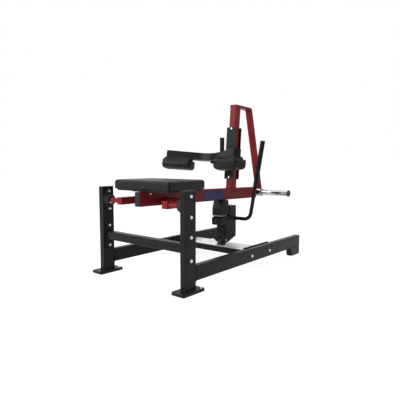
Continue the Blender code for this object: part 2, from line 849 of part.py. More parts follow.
def build_mast():
    foot = Vector((0, MAST_BASE_Y, MAST_BASE_Z))
    length = (MAST_TOP_Z - MAST_BASE_Z + TUBE_NARROW) / math.cos(MAST_ANGLE)
    up = Vector((0, math.sin(MAST_ANGLE), math.cos(MAST_ANGLE)))
    centre = foot + up * (length - TUBE_NARROW) / 2
    lean = (-MAST_ANGLE, 0, 0)
    mast = to_mesh(tube("mast", TUBE_NARROW, TUBE_NARROW, length, RED, centre, lean))
    hang(mast, lever)
    strap_angle = math.atan(STRAP_FALL / (STRAP_CORNER_Y - mast_y(MAST_TOP_Z) + TUBE_NARROW / 2))
    thick = 2 * TUBE_WIDE
    low = foot + Vector((0, 0, GAP - thick / 2))
    high_y = mast_y(MAST_TOP_Z) - TUBE_NARROW / 2
    high = Vector((0, high_y, MAST_TOP_Z + thick / 2 - GAP))
    for name, place, slope in (("mast_foot", low, BEAM_ANGLE), ("mast_top", high, strap_angle)):
        trim = block(name, (thick, thick, thick), place, RED, (-slope, 0, 0))
        boolean(mast, as_cutter(trim), "DIFFERENCE")
    for step in range(PIN_HOLE_COUNT):
        z = PIN_Z + (step - PIN_HOLES_BELOW) * PIN_HOLE_PITCH
        hole = turned(
            f"pin_hole_{step}",
            rod_profile(PIN_RADIUS + 2 * TURN, 2 * TUBE_WALL, GAP),
            STEEL,
            (TUBE_NARROW / 2 - TUBE_WALL / 2, mast_y(z), z),
            ALONG_X,
            steps=SMALL_ROUND,
        )
        boolean(mast, as_cutter(hole), "DIFFERENCE")
    for face, sign in (("front", -1), ("rear", 1)):
        middle_z = GUIDE_LOW_Z + GUIDE_LENGTH * math.cos(MAST_ANGLE) / 2
        middle = Vector((0, mast_y(middle_z), middle_z))
        out = Vector((0, math.cos(MAST_ANGLE), -math.sin(MAST_ANGLE)))
        place = middle + out * sign * (TUBE_NARROW / 2 + GAP + GUIDE_THICK / 2)
        guide = block(
            f"guide_plate_{face}", (GUIDE_WIDTH, GUIDE_THICK, GUIDE_LENGTH), place, BLACK, lean
        )
        hang(guide, lever)


def strap_line():
    """The strap's outer line in y and z: over the mast's top, round the bend and down to touch the boss."""
    front = Vector((mast_y(MAST_TOP_Z) - TUBE_NARROW / 2, MAST_TOP_Z + STRAP_THICK, 0))
    corner = Vector((STRAP_CORNER_Y, front.y - STRAP_FALL, 0))
    to_boss = Vector((BOSS_Y, BOSS_Z, 0)) - corner
    off = BOSS_RADIUS + GAP + STRAP_THICK
    down = to_boss.copy()
    down.rotate(Matrix.Rotation(math.asin(off / to_boss.length), 3, "Z"))
    length = math.sqrt(to_boss.length**2 - off**2) + STRAP_FOOT
    foot = corner + down.normalized() * length
    path = filleted([front, corner, foot], STRAP_BEND)
    return [(point.x, point.y) for point in path]


def build_strap():
    outer = strap_line()
    outline = offset_strip(outer[::-1], STRAP_THICK)
    strap = plate("brace_strap", [outline], STRAP_WIDTH, RED, (0, 0, 0), FACING_X)
    hang(strap, lever)


def build_sleeves():
    """A chrome boss across the beam's rear end, with a plate sleeve and its end cap on each side."""
    boss = turned(
        "sleeve_boss",
        rod_profile(BOSS_RADIUS, 2 * BOSS_HALF, WIDE_CHAMFER),
        CHROME,
        (0, BOSS_Y, BOSS_Z),
        ALONG_X,
    )
    hang(boss, lever)
    for side, sign in SIDES:
        start = BOSS_HALF + GAP
        sleeve = turned(
            f"weight_sleeve_{side}",
            rod_profile(SLEEVE_RADIUS, SLEEVE_END_X - start, CHAMFER),
            CHROME,
            (sign * (start + SLEEVE_END_X) / 2, BOSS_Y, BOSS_Z),
            ALONG_X,
        )
        hang(sleeve, lever)
        cap = turned(
            f"sleeve_cap_{side}",
            rod_profile(SLEEVE_CAP_RADIUS, SLEEVE_CAP, WIDE_CHAMFER),
            PLASTIC,
            (sign * (SLEEVE_END_X + GAP + SLEEVE_CAP / 2), BOSS_Y, BOSS_Z),
            ALONG_X,
        )
        hang(cap, lever)


def build_seat():
    """A channel on the beam, the seat's board and the cushion."""
    rear = SEAT_FRONT + SEAT_DEPTH
    board_z = SEAT_BOTTOM - GAP - SEAT_BOARD / 2
    middle_y = (SEAT_FRONT + rear) / 2
    board = block(
        "seat_board",
        (SEAT_WIDTH - 2 * SEAT_INSET, SEAT_DEPTH - 2 * SEAT_INSET, SEAT_BOARD),
        (0, middle_y, board_z),
        BOARD,
    )
    hang(bevel(board, WIDE_CHAMFER, 1), lever)
    flat_height = SEAT_PAD - SEAT_CROWN
    pad = cushion(
        "seat_pad",
        (SEAT_WIDTH, SEAT_DEPTH, flat_height),
        SEAT_CROWN,
        SEAT_WAIST,
        SEAT_EDGE,
        VINYL,
        (0, middle_y, SEAT_BOTTOM + flat_height / 2),
    )
    hang(pad, lever)
    top = SEAT_BOTTOM - 2 * GAP - SEAT_BOARD
    start = SEAT_FRONT + SEAT_INSET
    end = rear - SEAT_INSET
    wedge = [
        (start, beam_top(start) + GAP),
        (end, beam_top(end) + GAP),
        (end, top),
        (start, top),
    ]
    hang(plate("seat_bracket", [wedge], BRACKET_WIDTH, BLACK, (0, 0, 0), FACING_X), lever)


def build_stop():
    """The block under the beam, and the wear pad under it that rests on the catch."""
    front = CATCH_PIVOT_Y - STOP_AHEAD
    rear = front + STOP_LOW_LENGTH
    pad_low = CATCH_TOP_Z + GAP
    low = pad_low + STOP_PAD_THICK + GAP
    top_front = (front + rear - STOP_TOP_LENGTH) / 2 + STOP_SET_BACK
    top_rear = top_front + STOP_TOP_LENGTH
    outline = [
        (front, low),
        (rear, low),
        (rear, low + STOP_NECK),
        (top_rear, beam_bottom(top_rear) - GAP),
        (top_front, beam_bottom(top_front) - GAP),
        (front, low + STOP_NECK),
    ]
    hang(plate("stop_bracket", [outline], CATCH_WIDTH, BLACK, (0, 0, 0), FACING_X), lever)
    pad = block(
        "stop_wear_pad",
        (CATCH_WIDTH - 2 * STOP_PAD_INSET, STOP_PAD_LENGTH, STOP_PAD_THICK),
        (0, front + STOP_PAD_INSET + STOP_PAD_LENGTH / 2, pad_low + STOP_PAD_THICK / 2),
        NYLON,
    )
    hang(pad, lever)


def catch_outline():
    """The catch from its right side, in y and z. Its top is round about the pivot, so it swings freely."""
    pivot = (CATCH_PIVOT_Y, CATCH_PIVOT_Z)
    reach = CATCH_TOP_Z - CATCH_PIVOT_Z
    head_angle = math.degrees(math.acos(CATCH_HEAD / reach))
    lip_angle = math.degrees(math.acos(CATCH_LIP / reach))
    lip_top = CATCH_PIVOT_Z + reach * math.sin(math.radians(lip_angle))
    front = CATCH_PIVOT_Y + CATCH_FRONT
    rear = CATCH_PIVOT_Y + CATCH_REAR
    head_top = CATCH_TOP_Z + CATCH_HEAD_RISE
    return [
        *arc(pivot, CATCH_EYE, 180, 270),
        (CATCH_PIVOT_Y + CATCH_TOE, CATCH_PIVOT_Z - CATCH_TOE_DROP),
        (rear, CATCH_PIVOT_Z + CATCH_HEEL),
        (rear, head_top),
        (CATCH_PIVOT_Y + CATCH_HEAD, head_top),
        *arc(pivot, reach, head_angle, lip_angle),
        (CATCH_PIVOT_Y + CATCH_LIP, lip_top - CATCH_LIP_DEPTH),
        (front, lip_top - CATCH_LIP_DEPTH),
        (front, CATCH_PIVOT_Z + CATCH_FRONT_LOW),
        (CATCH_PIVOT_Y - CATCH_EYE, CATCH_PIVOT_Z + CATCH_CHIN),
    ]


def build_catch():
    """The swinging catch with its fork over the fixed lug, and the pin through both."""
    pivot_hole = circle(CATCH_PIN + TURN, (CATCH_PIVOT_Y, CATCH_PIVOT_Z))
    body = to_mesh(
        plate(
            "catch_block",
            [catch_outline(), pivot_hole],
            CATCH_WIDTH,
            BLACK,
            (0, 0, 0),
            FACING_X,
        )
    )
    hang(body, catch)
    slot_depth = 2 * (CATCH_REAR - CATCH_LIP)
    slot_low = CATCH_PIVOT_Z - 2 * CATCH_EYE
    slot_high = CATCH_PIVOT_Z + LUG_EYE + 3 * SLIDE
    slot = block(
        "fork_slot",
        (LUG_WIDTH + 2 * SLIDE, slot_depth, slot_high - slot_low),
        (0, CATCH_PIVOT_Y, (slot_low + slot_high) / 2),
        BLACK,
    )
    boolean(body, as_cutter(slot), "DIFFERENCE")
    base = TREAD_TOP + GAP
    lug = [
        (CATCH_PIVOT_Y - LUG_HALF_LENGTH, base),
        (CATCH_PIVOT_Y + LUG_HALF_LENGTH, base),
        *arc((CATCH_PIVOT_Y, CATCH_PIVOT_Z), LUG_EYE, 0, 180),
    ]
    lug_hole = circle(CATCH_PIN + GAP, (CATCH_PIVOT_Y, CATCH_PIVOT_Z))
    hang(plate("catch_lug", [lug, lug_hole], LUG_WIDTH, BLACK, (0, 0, 0), FACING_X), frame)
    pin = turned(
        "catch_pin",
        rod_profile(CATCH_PIN, CATCH_WIDTH + 2 * CATCH_PIN_OUT, CHAMFER),
        STEEL,
        (0, CATCH_PIVOT_Y, CATCH_PIVOT_Z),
        ALONG_X,
        steps=SMALL_ROUND,
    )
    hang(pin, frame)


def build_handle():
    """The bent release handle behind the catch, with a rubber grip pulled over its upper end."""
    y = CATCH_PIVOT_Y + CATCH_REAR + GAP + HANDLE_RADIUS
    low_z = CATCH_TOP_Z - HANDLE_BELOW_TOP
    bend = Vector((HANDLE_OUT, y, low_z))
    top = bend + Vector((HANDLE_SPLAY, HANDLE_BACK, HANDLE_HEIGHT))
    up = (top - bend).normalized()
    rod_end = top - up * (HANDLE_GRIP_END + GAP)
    path = filleted([(HANDLE_RADIUS - CATCH_WIDTH / 2, y, low_z), bend, rod_end], HANDLE_BEND)
    hang(bent_rod("release_handle", path, HANDLE_RADIUS, BLACK), catch)
    inner = HANDLE_RADIUS + GAP
    outer = HANDLE_GRIP_RADIUS
    round_top = arc((outer - HANDLE_GRIP_END, -HANDLE_GRIP_END), HANDLE_GRIP_END, 90, 0, CORNER_STEPS)
    cup = [
        (0, 0),
        *round_top,
        (outer, WIDE_CHAMFER - HANDLE_GRIP_LENGTH),
        (outer - WIDE_CHAMFER, -HANDLE_GRIP_LENGTH),
        (inner, -HANDLE_GRIP_LENGTH),
        (inner, -HANDLE_GRIP_END),
        (0, -HANDLE_GRIP_END),
    ]
    leaning = up.to_track_quat("Z", "Y").to_euler()
    hang(turned("handle_grip", cup, RUBBER, top, leaning), catch)


def on_tilt(x, along, up):
    """A place in the tilted plane of the thigh bar, whose origin is at the bar's front top edge."""
    return Vector(
        (
            x,
            BAR_END_Y + along * math.cos(TILT) + up * math.sin(TILT),
            BAR_END_Z - along * math.sin(TILT) + up * math.cos(TILT),
        )
    )


def bar_line():
    """Centre line of the swept thigh bar in its own plane, from the left end to the right one."""
    sweep = math.radians(BAR_SWEEP)
    end_x = BAR_HALF + BAR_SIZE / 2 * math.sin(sweep)
    end_y = BAR_SIZE / 2 * math.cos(sweep)
    apex = end_y + end_x * math.tan(sweep)
    path = filleted([(-end_x, end_y, 0), (0, apex, 0), (end_x, end_y, 0)], BAR_BEND)
    return [(point.x, point.y) for point in path]


def carriage_outer():
    """Outer width and depth of the carriage round the mast and its guide plates."""
    width = GUIDE_WIDTH + 2 * (SLIDE + CARRIAGE_WALL)
    depth = TUBE_NARROW + 2 * (GAP + GUIDE_THICK + SLIDE + CARRIAGE_WALL)
    return width, depth


def build_carriage():
    """The sleeve on the mast, the swept bar with its link, the hand grip and the pull pin's barrel."""
    width, depth = carriage_outer()
    lean = (-MAST_ANGLE, 0, 0)
    opening = rounded_rectangle(width - 2 * CARRIAGE_WALL, depth - 2 * CARRIAGE_WALL, CHAMFER)
    sleeve = to_mesh(
        plate(
            "carriage_sleeve",
            [rounded_rectangle(width, depth, TUBE_CORNER), opening],
            CARRIAGE_HEIGHT,
            BLACK,
            (0, mast_y(CARRIAGE_Z), CARRIAGE_Z),
            lean,
        )
    )
    hang(sleeve, carriage)
    bore = turned(
        "barrel_hole",
        rod_profile(PIN_RADIUS + TURN, 3 * CARRIAGE_WALL, GAP),
        STEEL,
        (width / 2 - CARRIAGE_WALL / 2, mast_y(PIN_Z), PIN_Z),
        ALONG_X,
        steps=SMALL_ROUND,
    )
    boolean(sleeve, as_cutter(bore), "DIFFERENCE")

    line = bar_line()
    half = BAR_SIZE / 2
    lower = offset_strip(line, half)[len(line) :][::-1]
    upper = offset_strip(line[::-1], half)[len(line) :][::-1]
    outline = lower + upper
    tilted = (-TILT, 0, 0)
    bar = plate("thigh_bar", [outline], BAR_SIZE, BLACK, on_tilt(0, 0, -half), tilted)
    hang(bar, carriage)

    back = max(y for _, y in line) + half + GAP
    start = on_tilt(0, back, -LINK_DROP)
    end_low = link_end(start, BAR_SIZE)
    end_high = link_end(start, 0)
    foot = on_tilt(0, back, -LINK_DROP - BAR_SIZE)
    profile = [(foot.y, foot.z), end_low, end_high, (start.y, start.z)]
    link = plate("thigh_link", [profile], BAR_SIZE, BLACK, (0, 0, 0), FACING_X)
    hang(link, carriage)

    top = link_top(start, GRIP_Y) + GAP + GRIP_RADIUS * math.tan(TILT)
    stem = turned(
        "hand_grip_stem",
        rod_profile(GRIP_RADIUS, GRIP_HEIGHT, CHAMFER),
        BLACK,
        (0, GRIP_Y, top + GRIP_HEIGHT / 2),
        steps=SMALL_ROUND,
    )
    hang(stem, carriage)
    inner = GRIP_RADIUS + GAP
    low = GRIP_START - GRIP_HEIGHT / 2
    high = GRIP_HEIGHT / 2
    tube_wall = [
        (GRIP_SLEEVE - WIDE_CHAMFER, high),
        (GRIP_SLEEVE, high - WIDE_CHAMFER),
        (GRIP_SLEEVE, low),
        (inner, low),
        (inner, high),
    ]
    grip = turned(
        "hand_grip",
        tube_wall,
        RUBBER,
        (0, GRIP_Y, top + GRIP_HEIGHT / 2),
        closed=True,
    )
    hang(grip, carriage)

    outer = width / 2
    middle = outer + GAP + PIN_BARREL_LENGTH / 2
    half_barrel = PIN_BARREL_LENGTH / 2
    wall = [
        (PIN_BARREL - CHAMFER, half_barrel),
        (PIN_BARREL, half_barrel - CHAMFER),
        (PIN_BARREL, -half_barrel),
        (PIN_RADIUS + TURN, -half_barrel),
        (PIN_RADIUS + TURN, half_barrel),
    ]
    barrel = turned(
        "pin_barrel",
        wall,
        STEEL,
        (middle, mast_y(PIN_Z), PIN_Z),
        ALONG_X,
        steps=SMALL_ROUND,
        closed=True,
    )
    hang(barrel, carriage)


def carriage_face(z):
    """Place in y of the carriage's leaning front face at a height."""
    depth = carriage_outer()[1]
    return mast_y(z) - depth / 2 / math.cos(MAST_ANGLE)


def link_end(start, drop):
    """Where the link's edge, drop below its top edge, meets the carriage's leaning front face."""
    slope = math.tan(TILT)
    z = start.z - drop / math.cos(TILT)
    reach = (carriage_face(z) - GAP - start.y) / (1 + MAST_LEAN * slope)
    return (start.y + reach, z - slope * reach)


def link_top(start, y):
    return start.z - math.tan(TILT) * (y - start.y)


def build_thigh_pads():
    """Under each end of the swept bar: a board and its cushion, toed in like the thighs."""
    tilt = Matrix.Rotation(-TILT, 4, "X")
    along = (THIGH_PAD_Y - BAR_END_Y) / math.cos(TILT)
    for side, sign in SIDES:
        toe = Matrix.Rotation(-sign * math.radians(THIGH_PAD_TOE), 4, "Z")
        turn = (tilt @ toe).to_euler()
        board_up = -BAR_SIZE - GAP - THIGH_BOARD / 2
        board = block(
            f"thigh_board_{side}",
            (
                THIGH_PAD_LENGTH - 2 * THIGH_BOARD_INSET,
                THIGH_PAD_DEPTH - 2 * THIGH_BOARD_INSET,
                THIGH_BOARD,
            ),
            on_tilt(sign * THIGH_PAD_X, along, board_up),
            BOARD,
            turn,
        )
        hang(board, carriage)
        pad_up = board_up - THIGH_BOARD / 2 - GAP - THIGH_PAD_HEIGHT / 2
        place = on_tilt(sign * THIGH_PAD_X, along, pad_up)
        hang(rounded_pad(f"thigh_pad_{side}", VINYL, place, turn), carriage)


def build_lock_pin():
    """The sprung pin, and its knob outside the barrel."""
    outer = carriage_outer()[0] / 2
    inner = TUBE_NARROW / 2 + GAP
    end = outer + GAP + PIN_BARREL_LENGTH + PIN_NECK
    pin = turned(
        "lock_pin",
        rod_profile(PIN_RADIUS, end - inner, CHAMFER),
        STEEL,
        ((inner + end) / 2, mast_y(PIN_Z), PIN_Z),
        ALONG_X,
        steps=SMALL_ROUND,
    )
    hang(pin, lock)
    half = PIN_KNOB_LENGTH / 2
    profile = [
        (0, half),
        (PIN_KNOB - PIN_KNOB_EDGE, half),
        (PIN_KNOB, half - PIN_KNOB_EDGE),
        (PIN_KNOB - PIN_KNOB_WAIST, -half),
        (0, -half),
    ]
    knob = turned(
        "lock_knob",
        profile,
        PLASTIC,
        (end + GAP + half, mast_y(PIN_Z), PIN_Z),
        ALONG_X,
    )
    hang(knob, lock)


build_uprights()
build_rails()
build_crossbar()
build_platform()
build_bearings()
build_pivot_frame()
build_beam()
build_mast()
build_strap()
build_sleeves()
build_seat()
build_stop()
build_catch()
build_handle()
build_carriage()
build_thigh_pads()
build_lock_pin()

machine = joint_empty("machine", (0, 0, 0))
for made in (*BODIES, *CUTTERS.objects):
    made.parent = machine
front_y = UPRIGHT_Y - PLATE_LENGTH / 2
rear_y = max(RAIL_END + GAP + CAP_THICK, strap_line()[-1][0])
machine.location.y = -(front_y + rear_y) / 2
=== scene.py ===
import json
import math

import bmesh
import bpy
from mathutils import Matrix, Vector, noise


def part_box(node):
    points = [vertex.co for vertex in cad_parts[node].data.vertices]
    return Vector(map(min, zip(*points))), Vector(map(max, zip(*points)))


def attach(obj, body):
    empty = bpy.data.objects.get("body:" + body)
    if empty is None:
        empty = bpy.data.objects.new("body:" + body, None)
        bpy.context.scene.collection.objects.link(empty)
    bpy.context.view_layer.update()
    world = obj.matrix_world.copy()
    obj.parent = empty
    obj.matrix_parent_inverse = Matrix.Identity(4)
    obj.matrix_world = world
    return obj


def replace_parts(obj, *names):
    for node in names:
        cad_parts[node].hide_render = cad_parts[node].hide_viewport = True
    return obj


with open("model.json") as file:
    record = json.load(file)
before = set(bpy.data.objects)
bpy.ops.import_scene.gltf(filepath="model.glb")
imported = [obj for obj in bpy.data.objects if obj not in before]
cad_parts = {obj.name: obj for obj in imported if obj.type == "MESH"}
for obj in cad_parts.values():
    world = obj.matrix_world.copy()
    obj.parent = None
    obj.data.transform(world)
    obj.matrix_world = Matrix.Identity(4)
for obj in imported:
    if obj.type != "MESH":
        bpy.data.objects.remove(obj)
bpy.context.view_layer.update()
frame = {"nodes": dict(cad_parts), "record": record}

# Lengths are in metres in the CAD's frame, and angles in degrees.

# The photograph's camera, found from the frame's straight edges
CAMERA_PLACE = Vector((2.0594, -2.5634, 0.8143))
CAMERA_YAW = 39.868
CAMERA_DOWN = 5.087
CAMERA_LENS = 35.95
SENSOR = 36.0

# The lever's pivot behind the uprights' front faces, from which row_y counts
PIVOT_Y = 0.050

# Distances under which two places count as the same, and as lying on one face
SAME = 1e-6
NEAR = 0.0001

# Fasteners, and the turns in radians that keep their heads from lining up
BOLT_FLATS = 0.0168
BOLT_HEAD = 0.0058
WASHER_RADIUS = 0.0112
WASHER_THICK = 0.0020
WASHER_EDGE = 0.0004
HEAD_CHAMFER = 0.0016
THREAD_RADIUS = 0.0055
THREAD_CHAMFER = 0.0009
THREAD_OUT = 0.006
FIRST_TURN = 0.35
NEXT_TURN = 0.61

# Where the fasteners sit, and their scale
NUT_SCALE = 0.9
UPRIGHT_BOLT_Z = (0.616, 0.486, 0.359, 0.209)
BEARING_BOLT_Z = UPRIGHT_BOLT_Z[:2]
CROSSBAR_BOLT_Z = UPRIGHT_BOLT_Z[2:]
RAIL_BOLT_Y = (0.758, 1.021)
RAIL_BOLT_DROP = 0.004
BEAM_FLANGE = 0.008
HOUSING_FLANGE = 0.013
SEAT_BOLT_Y = 0.095
SEAT_BOLT_Z = 0.611
SEAT_BOLT_SCALE = 0.62
ANCHOR_X = 0.0395
ANCHOR_Y = 0.07575
ANCHOR_SCALE = 1.05

# The leaning mast and what rides on it: half sizes in the CAD, and after they are widened to the photograph's
MAST_LEAN = 0.0867
MAST_BASE = (1.089, 0.6073)
MAST_ACROSS = ((0.019, 0.0265), (0.025, 0.0325))
MAST_DEPTH = ((0.019, 0.0295), (0.025, 0.0355))
STRAP_ACROSS = ((0.025, 0.0315),)
STRAP_FRONT = 0.004
STRAP_FORWARD = 0.0106
STRAP_BACK = 0.0085
GUIDE_ACROSS = ((0.041, 0.0465),)
GUIDE_DEPTH = ((0.0253, 0.0357), (0.0353, 0.0457))
CARRIAGE_ACROSS = ((0.042, 0.0475), (0.050, 0.0507))
CARRIAGE_DEPTH = ((0.0363, 0.0472), (0.0443, 0.0512))
PIN_SHORT = 0.0006
GUIDE_BUTTON = (0.0085, 0.0085, 0.0014)
GUIDE_REACH = 0.214
GLIDE = (0.0138, 0.060)
GLIDE_OUT = 0.0028
GLIDE_SHORT = 0.012
GLIDE_GAP = 0.001
GLIDE_EDGE = 0.0015

# The beam's panel and its backing: name, thickness, extra length, height, edge radius and place off the beam
PANEL_Y = (0.681, 0.945)
PANEL_Z = 0.5735
PANEL_SLOPE = 0.0181
PANEL_PLATES = (
    ("blue_panel", 0.0012, 0, 0.077, 0.0004, 0.0007),
    ("panel_backing", 0.0008, 0.004, 0.081, 0.0003, 0.0004),
)

# The foot plate's lugs: half sizes, spacing, the plate's bare margin and the room round the catch
LUG = (0.0115, 0.0030, 0.0009)
LUG_PITCH = 0.0380
LUG_MARGIN = (0.02, 0.01)
LUG_CLEAR = (0.016, 0.012)
DOME_SUNK = 0.0003

# Weld beads
WELD_RADIUS = 0.0028
WELD_RIPPLE = 0.0030
WELD_VALLEY = 0.78
WELD_GRAIN = 160
WELD_UNEVEN = 0.12
FOOT_WELD_SHORT = 0.005
STUB_REACH = 0.05
SHAFT_STEPS = 24
MAST_WELD_FRONT = 0.0007
MAST_WELD_REAR = -0.0006
LINK_END = 0.0005

# Cushions
VOXEL = 0.005
COVER_PRESSURE = 4.0
COVER_FRAMES = 20
SEAT_SWELL = 0.005
SEAT_GROW = 0.009
SEAT_LIFT = 0.005
SEAT_CORNER = 0.016
SEAT_TOP_EDGE = 0.014
SEAT_LOW_EDGE = 0.005
PAD_SWELL = 0.0035
PAD_GROW = Vector((0.008, 0.010, -0.002))
PAD_BACK = 0.009
PAD_TOP_EDGE = 0.008
PAD_LOW_EDGE = 0.034
PAD_END_EDGE = 0.009
PAD_TOE = 15.5
PAD_TILT = 11.3

# Floor: its colour to the light it bounces and to the eye, and its own glow to the eye
FLOOR_PALE = 0.50
FLOOR_SHADE = 0.26
FLOOR_GLOW = 0.89
FLOOR_REACH = 40
FLOOR_DROP = 0.0005

# World: its light, which falls off towards +X, and the sides of the dark band that reflections see low in
# front of the machine, each as an axis, where it starts and ends, and what it goes from and to
WHITE = (1, 1, 1, 1)
WORLD_LIGHT = 0.55
SIDE_LIGHT = 0.12
SIDE_FALL = (0.1, 0.9)
DARK_BAND = 0.85
DARK_SIDES = (("Z", -0.03, 0.02, 0, DARK_BAND), ("Z", 0.28, 0.45, 1, 0), ("Y", -0.35, 0.2, 1, 0))

# Area lamps: name, place, size and watts
LAMP_TARGET = Vector((0, 0, 0.6))
LAMPS = (
    ("top_light", (-0.4, -0.2, 4.2), (4.5, 4.5), 110),
    ("front_light", (-1.6, -4.2, 2.2), (3.0, 2.4), 135),
    ("side_light", (4.6, 0.6, 2.0), (2.6, 2.2), 2),
)

node_box = {name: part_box(name) for name in frame["nodes"]}


def middle(node):
    low, high = node_box[node]
    return (low + high) / 2


SHIFT_Y = middle("pivot_shaft_right").y - PIVOT_Y


def row_y(y):
    """A y that is counted from the uprights' front faces, in the frame's own y."""
    return y + SHIFT_Y


def feed(tree, socket, value):
    """Give a socket a value, or link another node's output to it."""
    if isinstance(value, bpy.types.NodeSocket):
        tree.links.new(value, socket)
    else:
        socket.default_value = value


def add_node(tree, kind, inputs=None, **settings):
    """A new node with its settings, and with its inputs fed by name or number."""
    node = tree.nodes.new(kind)
    for key, value in settings.items():
        setattr(node, key, value)
    for key, value in (inputs or {}).items():
        feed(tree, node.inputs[key], value)
    return node


def map_range(tree, source, low, high, start=0.0, end=1.0):
    """The source's start to end carried to low to high, and held there beyond them."""
    inputs = {"Value": source, "From Min": start, "From Max": end, "To Min": low, "To Max": high}
    return add_node(tree, "ShaderNodeMapRange", inputs).outputs["Result"]


def calculate(tree, operation, first, second, **settings):
    """The result of a math node."""
    return add_node(tree, "ShaderNodeMath", {0: first, 1: second}, operation=operation, **settings).outputs[0]


class Nodes:
    """A short way to build a node material."""

    def __init__(self, name):
        self.material = bpy.data.materials.new(name)
        self.material.use_nodes = True
        self.tree = self.material.node_tree
        self.place = self.add("ShaderNodeTexCoord").outputs["Object"]

    def add(self, kind, inputs=None, **settings):
        return add_node(self.tree, kind, inputs, **settings)

    def noise(self, scale, detail=3.0, roughness=0.5, stretch=None):
        source = self.place
        if stretch:
            source = self.add("ShaderNodeMapping", {"Scale": stretch, "Vector": source}).outputs["Vector"]
        inputs = {"Scale": scale, "Detail": detail, "Roughness": roughness, "Vector": source}
        return self.add("ShaderNodeTexNoise", inputs).outputs["Fac"]

    def cells(self, scale):
        return self.add("ShaderNodeTexVoronoi", {"Scale": scale, "Vector": self.place}).outputs["Distance"]

    def ramp(self, source, low, high, start=0.0, end=1.0):
        return map_range(self.tree, source, low, high, start, end)

    def mix(self, factor, first, second):
        """A colour between two, where each is a colour or another mix."""
        node = self.add("ShaderNodeMix", {"Factor": factor}, data_type="RGBA")
        sockets = [socket for socket in node.inputs if socket.type == "RGBA"]
        for socket, colour in zip(sockets, (first, second)):
            feed(self.tree, socket, (*colour, 1) if isinstance(colour, tuple) else colour)
        return [socket for socket in node.outputs if socket.type == "RGBA"][0]

    def bump(self, height, strength, distance, under=None):
        inputs = {"Height": height, "Strength": strength, "Distance": distance}
        if under:
            inputs["Normal"] = under
        return self.add("ShaderNodeBump", inputs).outputs["Normal"]

    def rounded(self, radius):
        """Normals that soften the sharp edges of the solids."""
        return self.add("ShaderNodeBevel", {"Radius": radius}, samples=6).outputs["Normal"]

    def edges(self, softened):
        """White along sharp edges, where the softened normal leaves the face's own."""
        own = self.add("ShaderNodeNewGeometry").outputs["Normal"]
        dot = self.add("ShaderNodeVectorMath", {0: softened, 1: own}, operation="DOT_PRODUCT")
        return self.ramp(dot.outputs["Value"], 1.0, 0.0, 0.80, 0.985)

    def finish(self, colour, roughness, normal, **same_all_over):
        """The material, with the parts that vary linked and the rest set on the shader's own sockets."""
        values = {"Base Color": colour, "Roughness": roughness, "Normal": normal}
        values.update({name.replace("_", " "): value for name, value in same_all_over.items()})
        shader = self.tree.nodes["Principled BSDF"]
        for name, value in values.items():
            feed(self.tree, shader.inputs[name], value)
        return self.material


def powder_coat(name, dark, light, edge, rough, level):
    """Satin powder coat: a fine orange peel, slow shade changes and a slightly paler colour along sharp
    edges.
    """
    n = Nodes(name)
    soft = n.rounded(0.0012)
    shade = n.mix(n.ramp(n.noise(7, 5), 0, 1, 0.3, 0.7), dark, light)
    colour = n.mix(n.ramp(n.edges(soft), 0, 0.55), shade, edge)
    roughness = n.ramp(n.noise(45, 4), *rough, 0.3, 0.7)
    peel = n.bump(n.noise(620, 2), 0.16, 0.0004, soft)
    return n.finish(colour, roughness, peel, IOR=1.5, Specular_IOR_Level=level)


def vinyl():
    """Upholstery vinyl: small pebbled grain with faint stretched creases."""
    n = Nodes("vinyl")
    shade = n.mix(n.ramp(n.noise(11, 4), 0, 1, 0.3, 0.7), (0.0060, 0.0060, 0.0064), (0.0100, 0.0100, 0.0106))
    roughness = n.ramp(n.noise(60, 3), 0.36, 0.50, 0.3, 0.7)
    grain = n.bump(n.cells(780), 0.22, 0.0004)
    crease = n.bump(n.noise(26, 5, 0.6, (1.0, 2.4, 1.0)), 0.10, 0.0020, grain)
    return n.finish(shade, roughness, crease, IOR=1.5, Specular_IOR_Level=0.18)


def chrome():
    """Polished chrome with a few soft smears."""
    n = Nodes("polished_chrome")
    roughness = n.ramp(n.noise(9, 3, 0.5, (0.4, 1.0, 1.0)), 0.06, 0.14, 0.3, 0.7)
    shade = n.mix(n.ramp(n.noise(6, 3), 0, 1, 0.35, 0.65), (0.30, 0.30, 0.31), (0.38, 0.38, 0.39))
    return n.finish(shade, roughness, n.bump(n.noise(18, 2), 0.02, 0.0004), Metallic=1.0)


def zinc():
    """Bright zinc plate of the bolts and washers."""
    n = Nodes("zinc_plate")
    shade = n.mix(n.ramp(n.noise(260, 3), 0, 1, 0.35, 0.65), (0.55, 0.56, 0.57), (0.83, 0.84, 0.85))
    roughness = n.ramp(n.noise(420, 3), 0.20, 0.38, 0.3, 0.7)
    return n.finish(shade, roughness, n.bump(n.noise(900, 2), 0.10, 0.0002), Metallic=1.0)


def bright_steel(name, rough, scratches):
    """Ground steel with long fine scratches along x."""
    n = Nodes(name)
    shade = n.mix(n.ramp(n.noise(9, 5), 0, 1, 0.3, 0.7), (0.66, 0.66, 0.66), (0.86, 0.86, 0.86))
    lines = n.noise(340, 4, 0.7, (0.03, 1.0, 1.0))
    return n.finish(shade, n.ramp(lines, *rough, 0.3, 0.7), n.bump(lines, scratches, 0.0002), Metallic=1.0)


def cast_iron():
    """Painted iron with the sand mould's grain."""
    n = Nodes("painted_cast_iron")
    soft = n.rounded(0.0015)
    shade = n.mix(n.ramp(n.noise(30, 5), 0, 1, 0.3, 0.7), (0.010, 0.010, 0.011), (0.022, 0.022, 0.023))
    roughness = n.ramp(n.noise(80, 4), 0.40, 0.62, 0.3, 0.7)
    grain = n.bump(n.noise(240, 5, 0.65), 0.30, 0.0012, soft)
    return n.finish(shade, roughness, grain, IOR=1.5, Specular_IOR_Level=0.2)


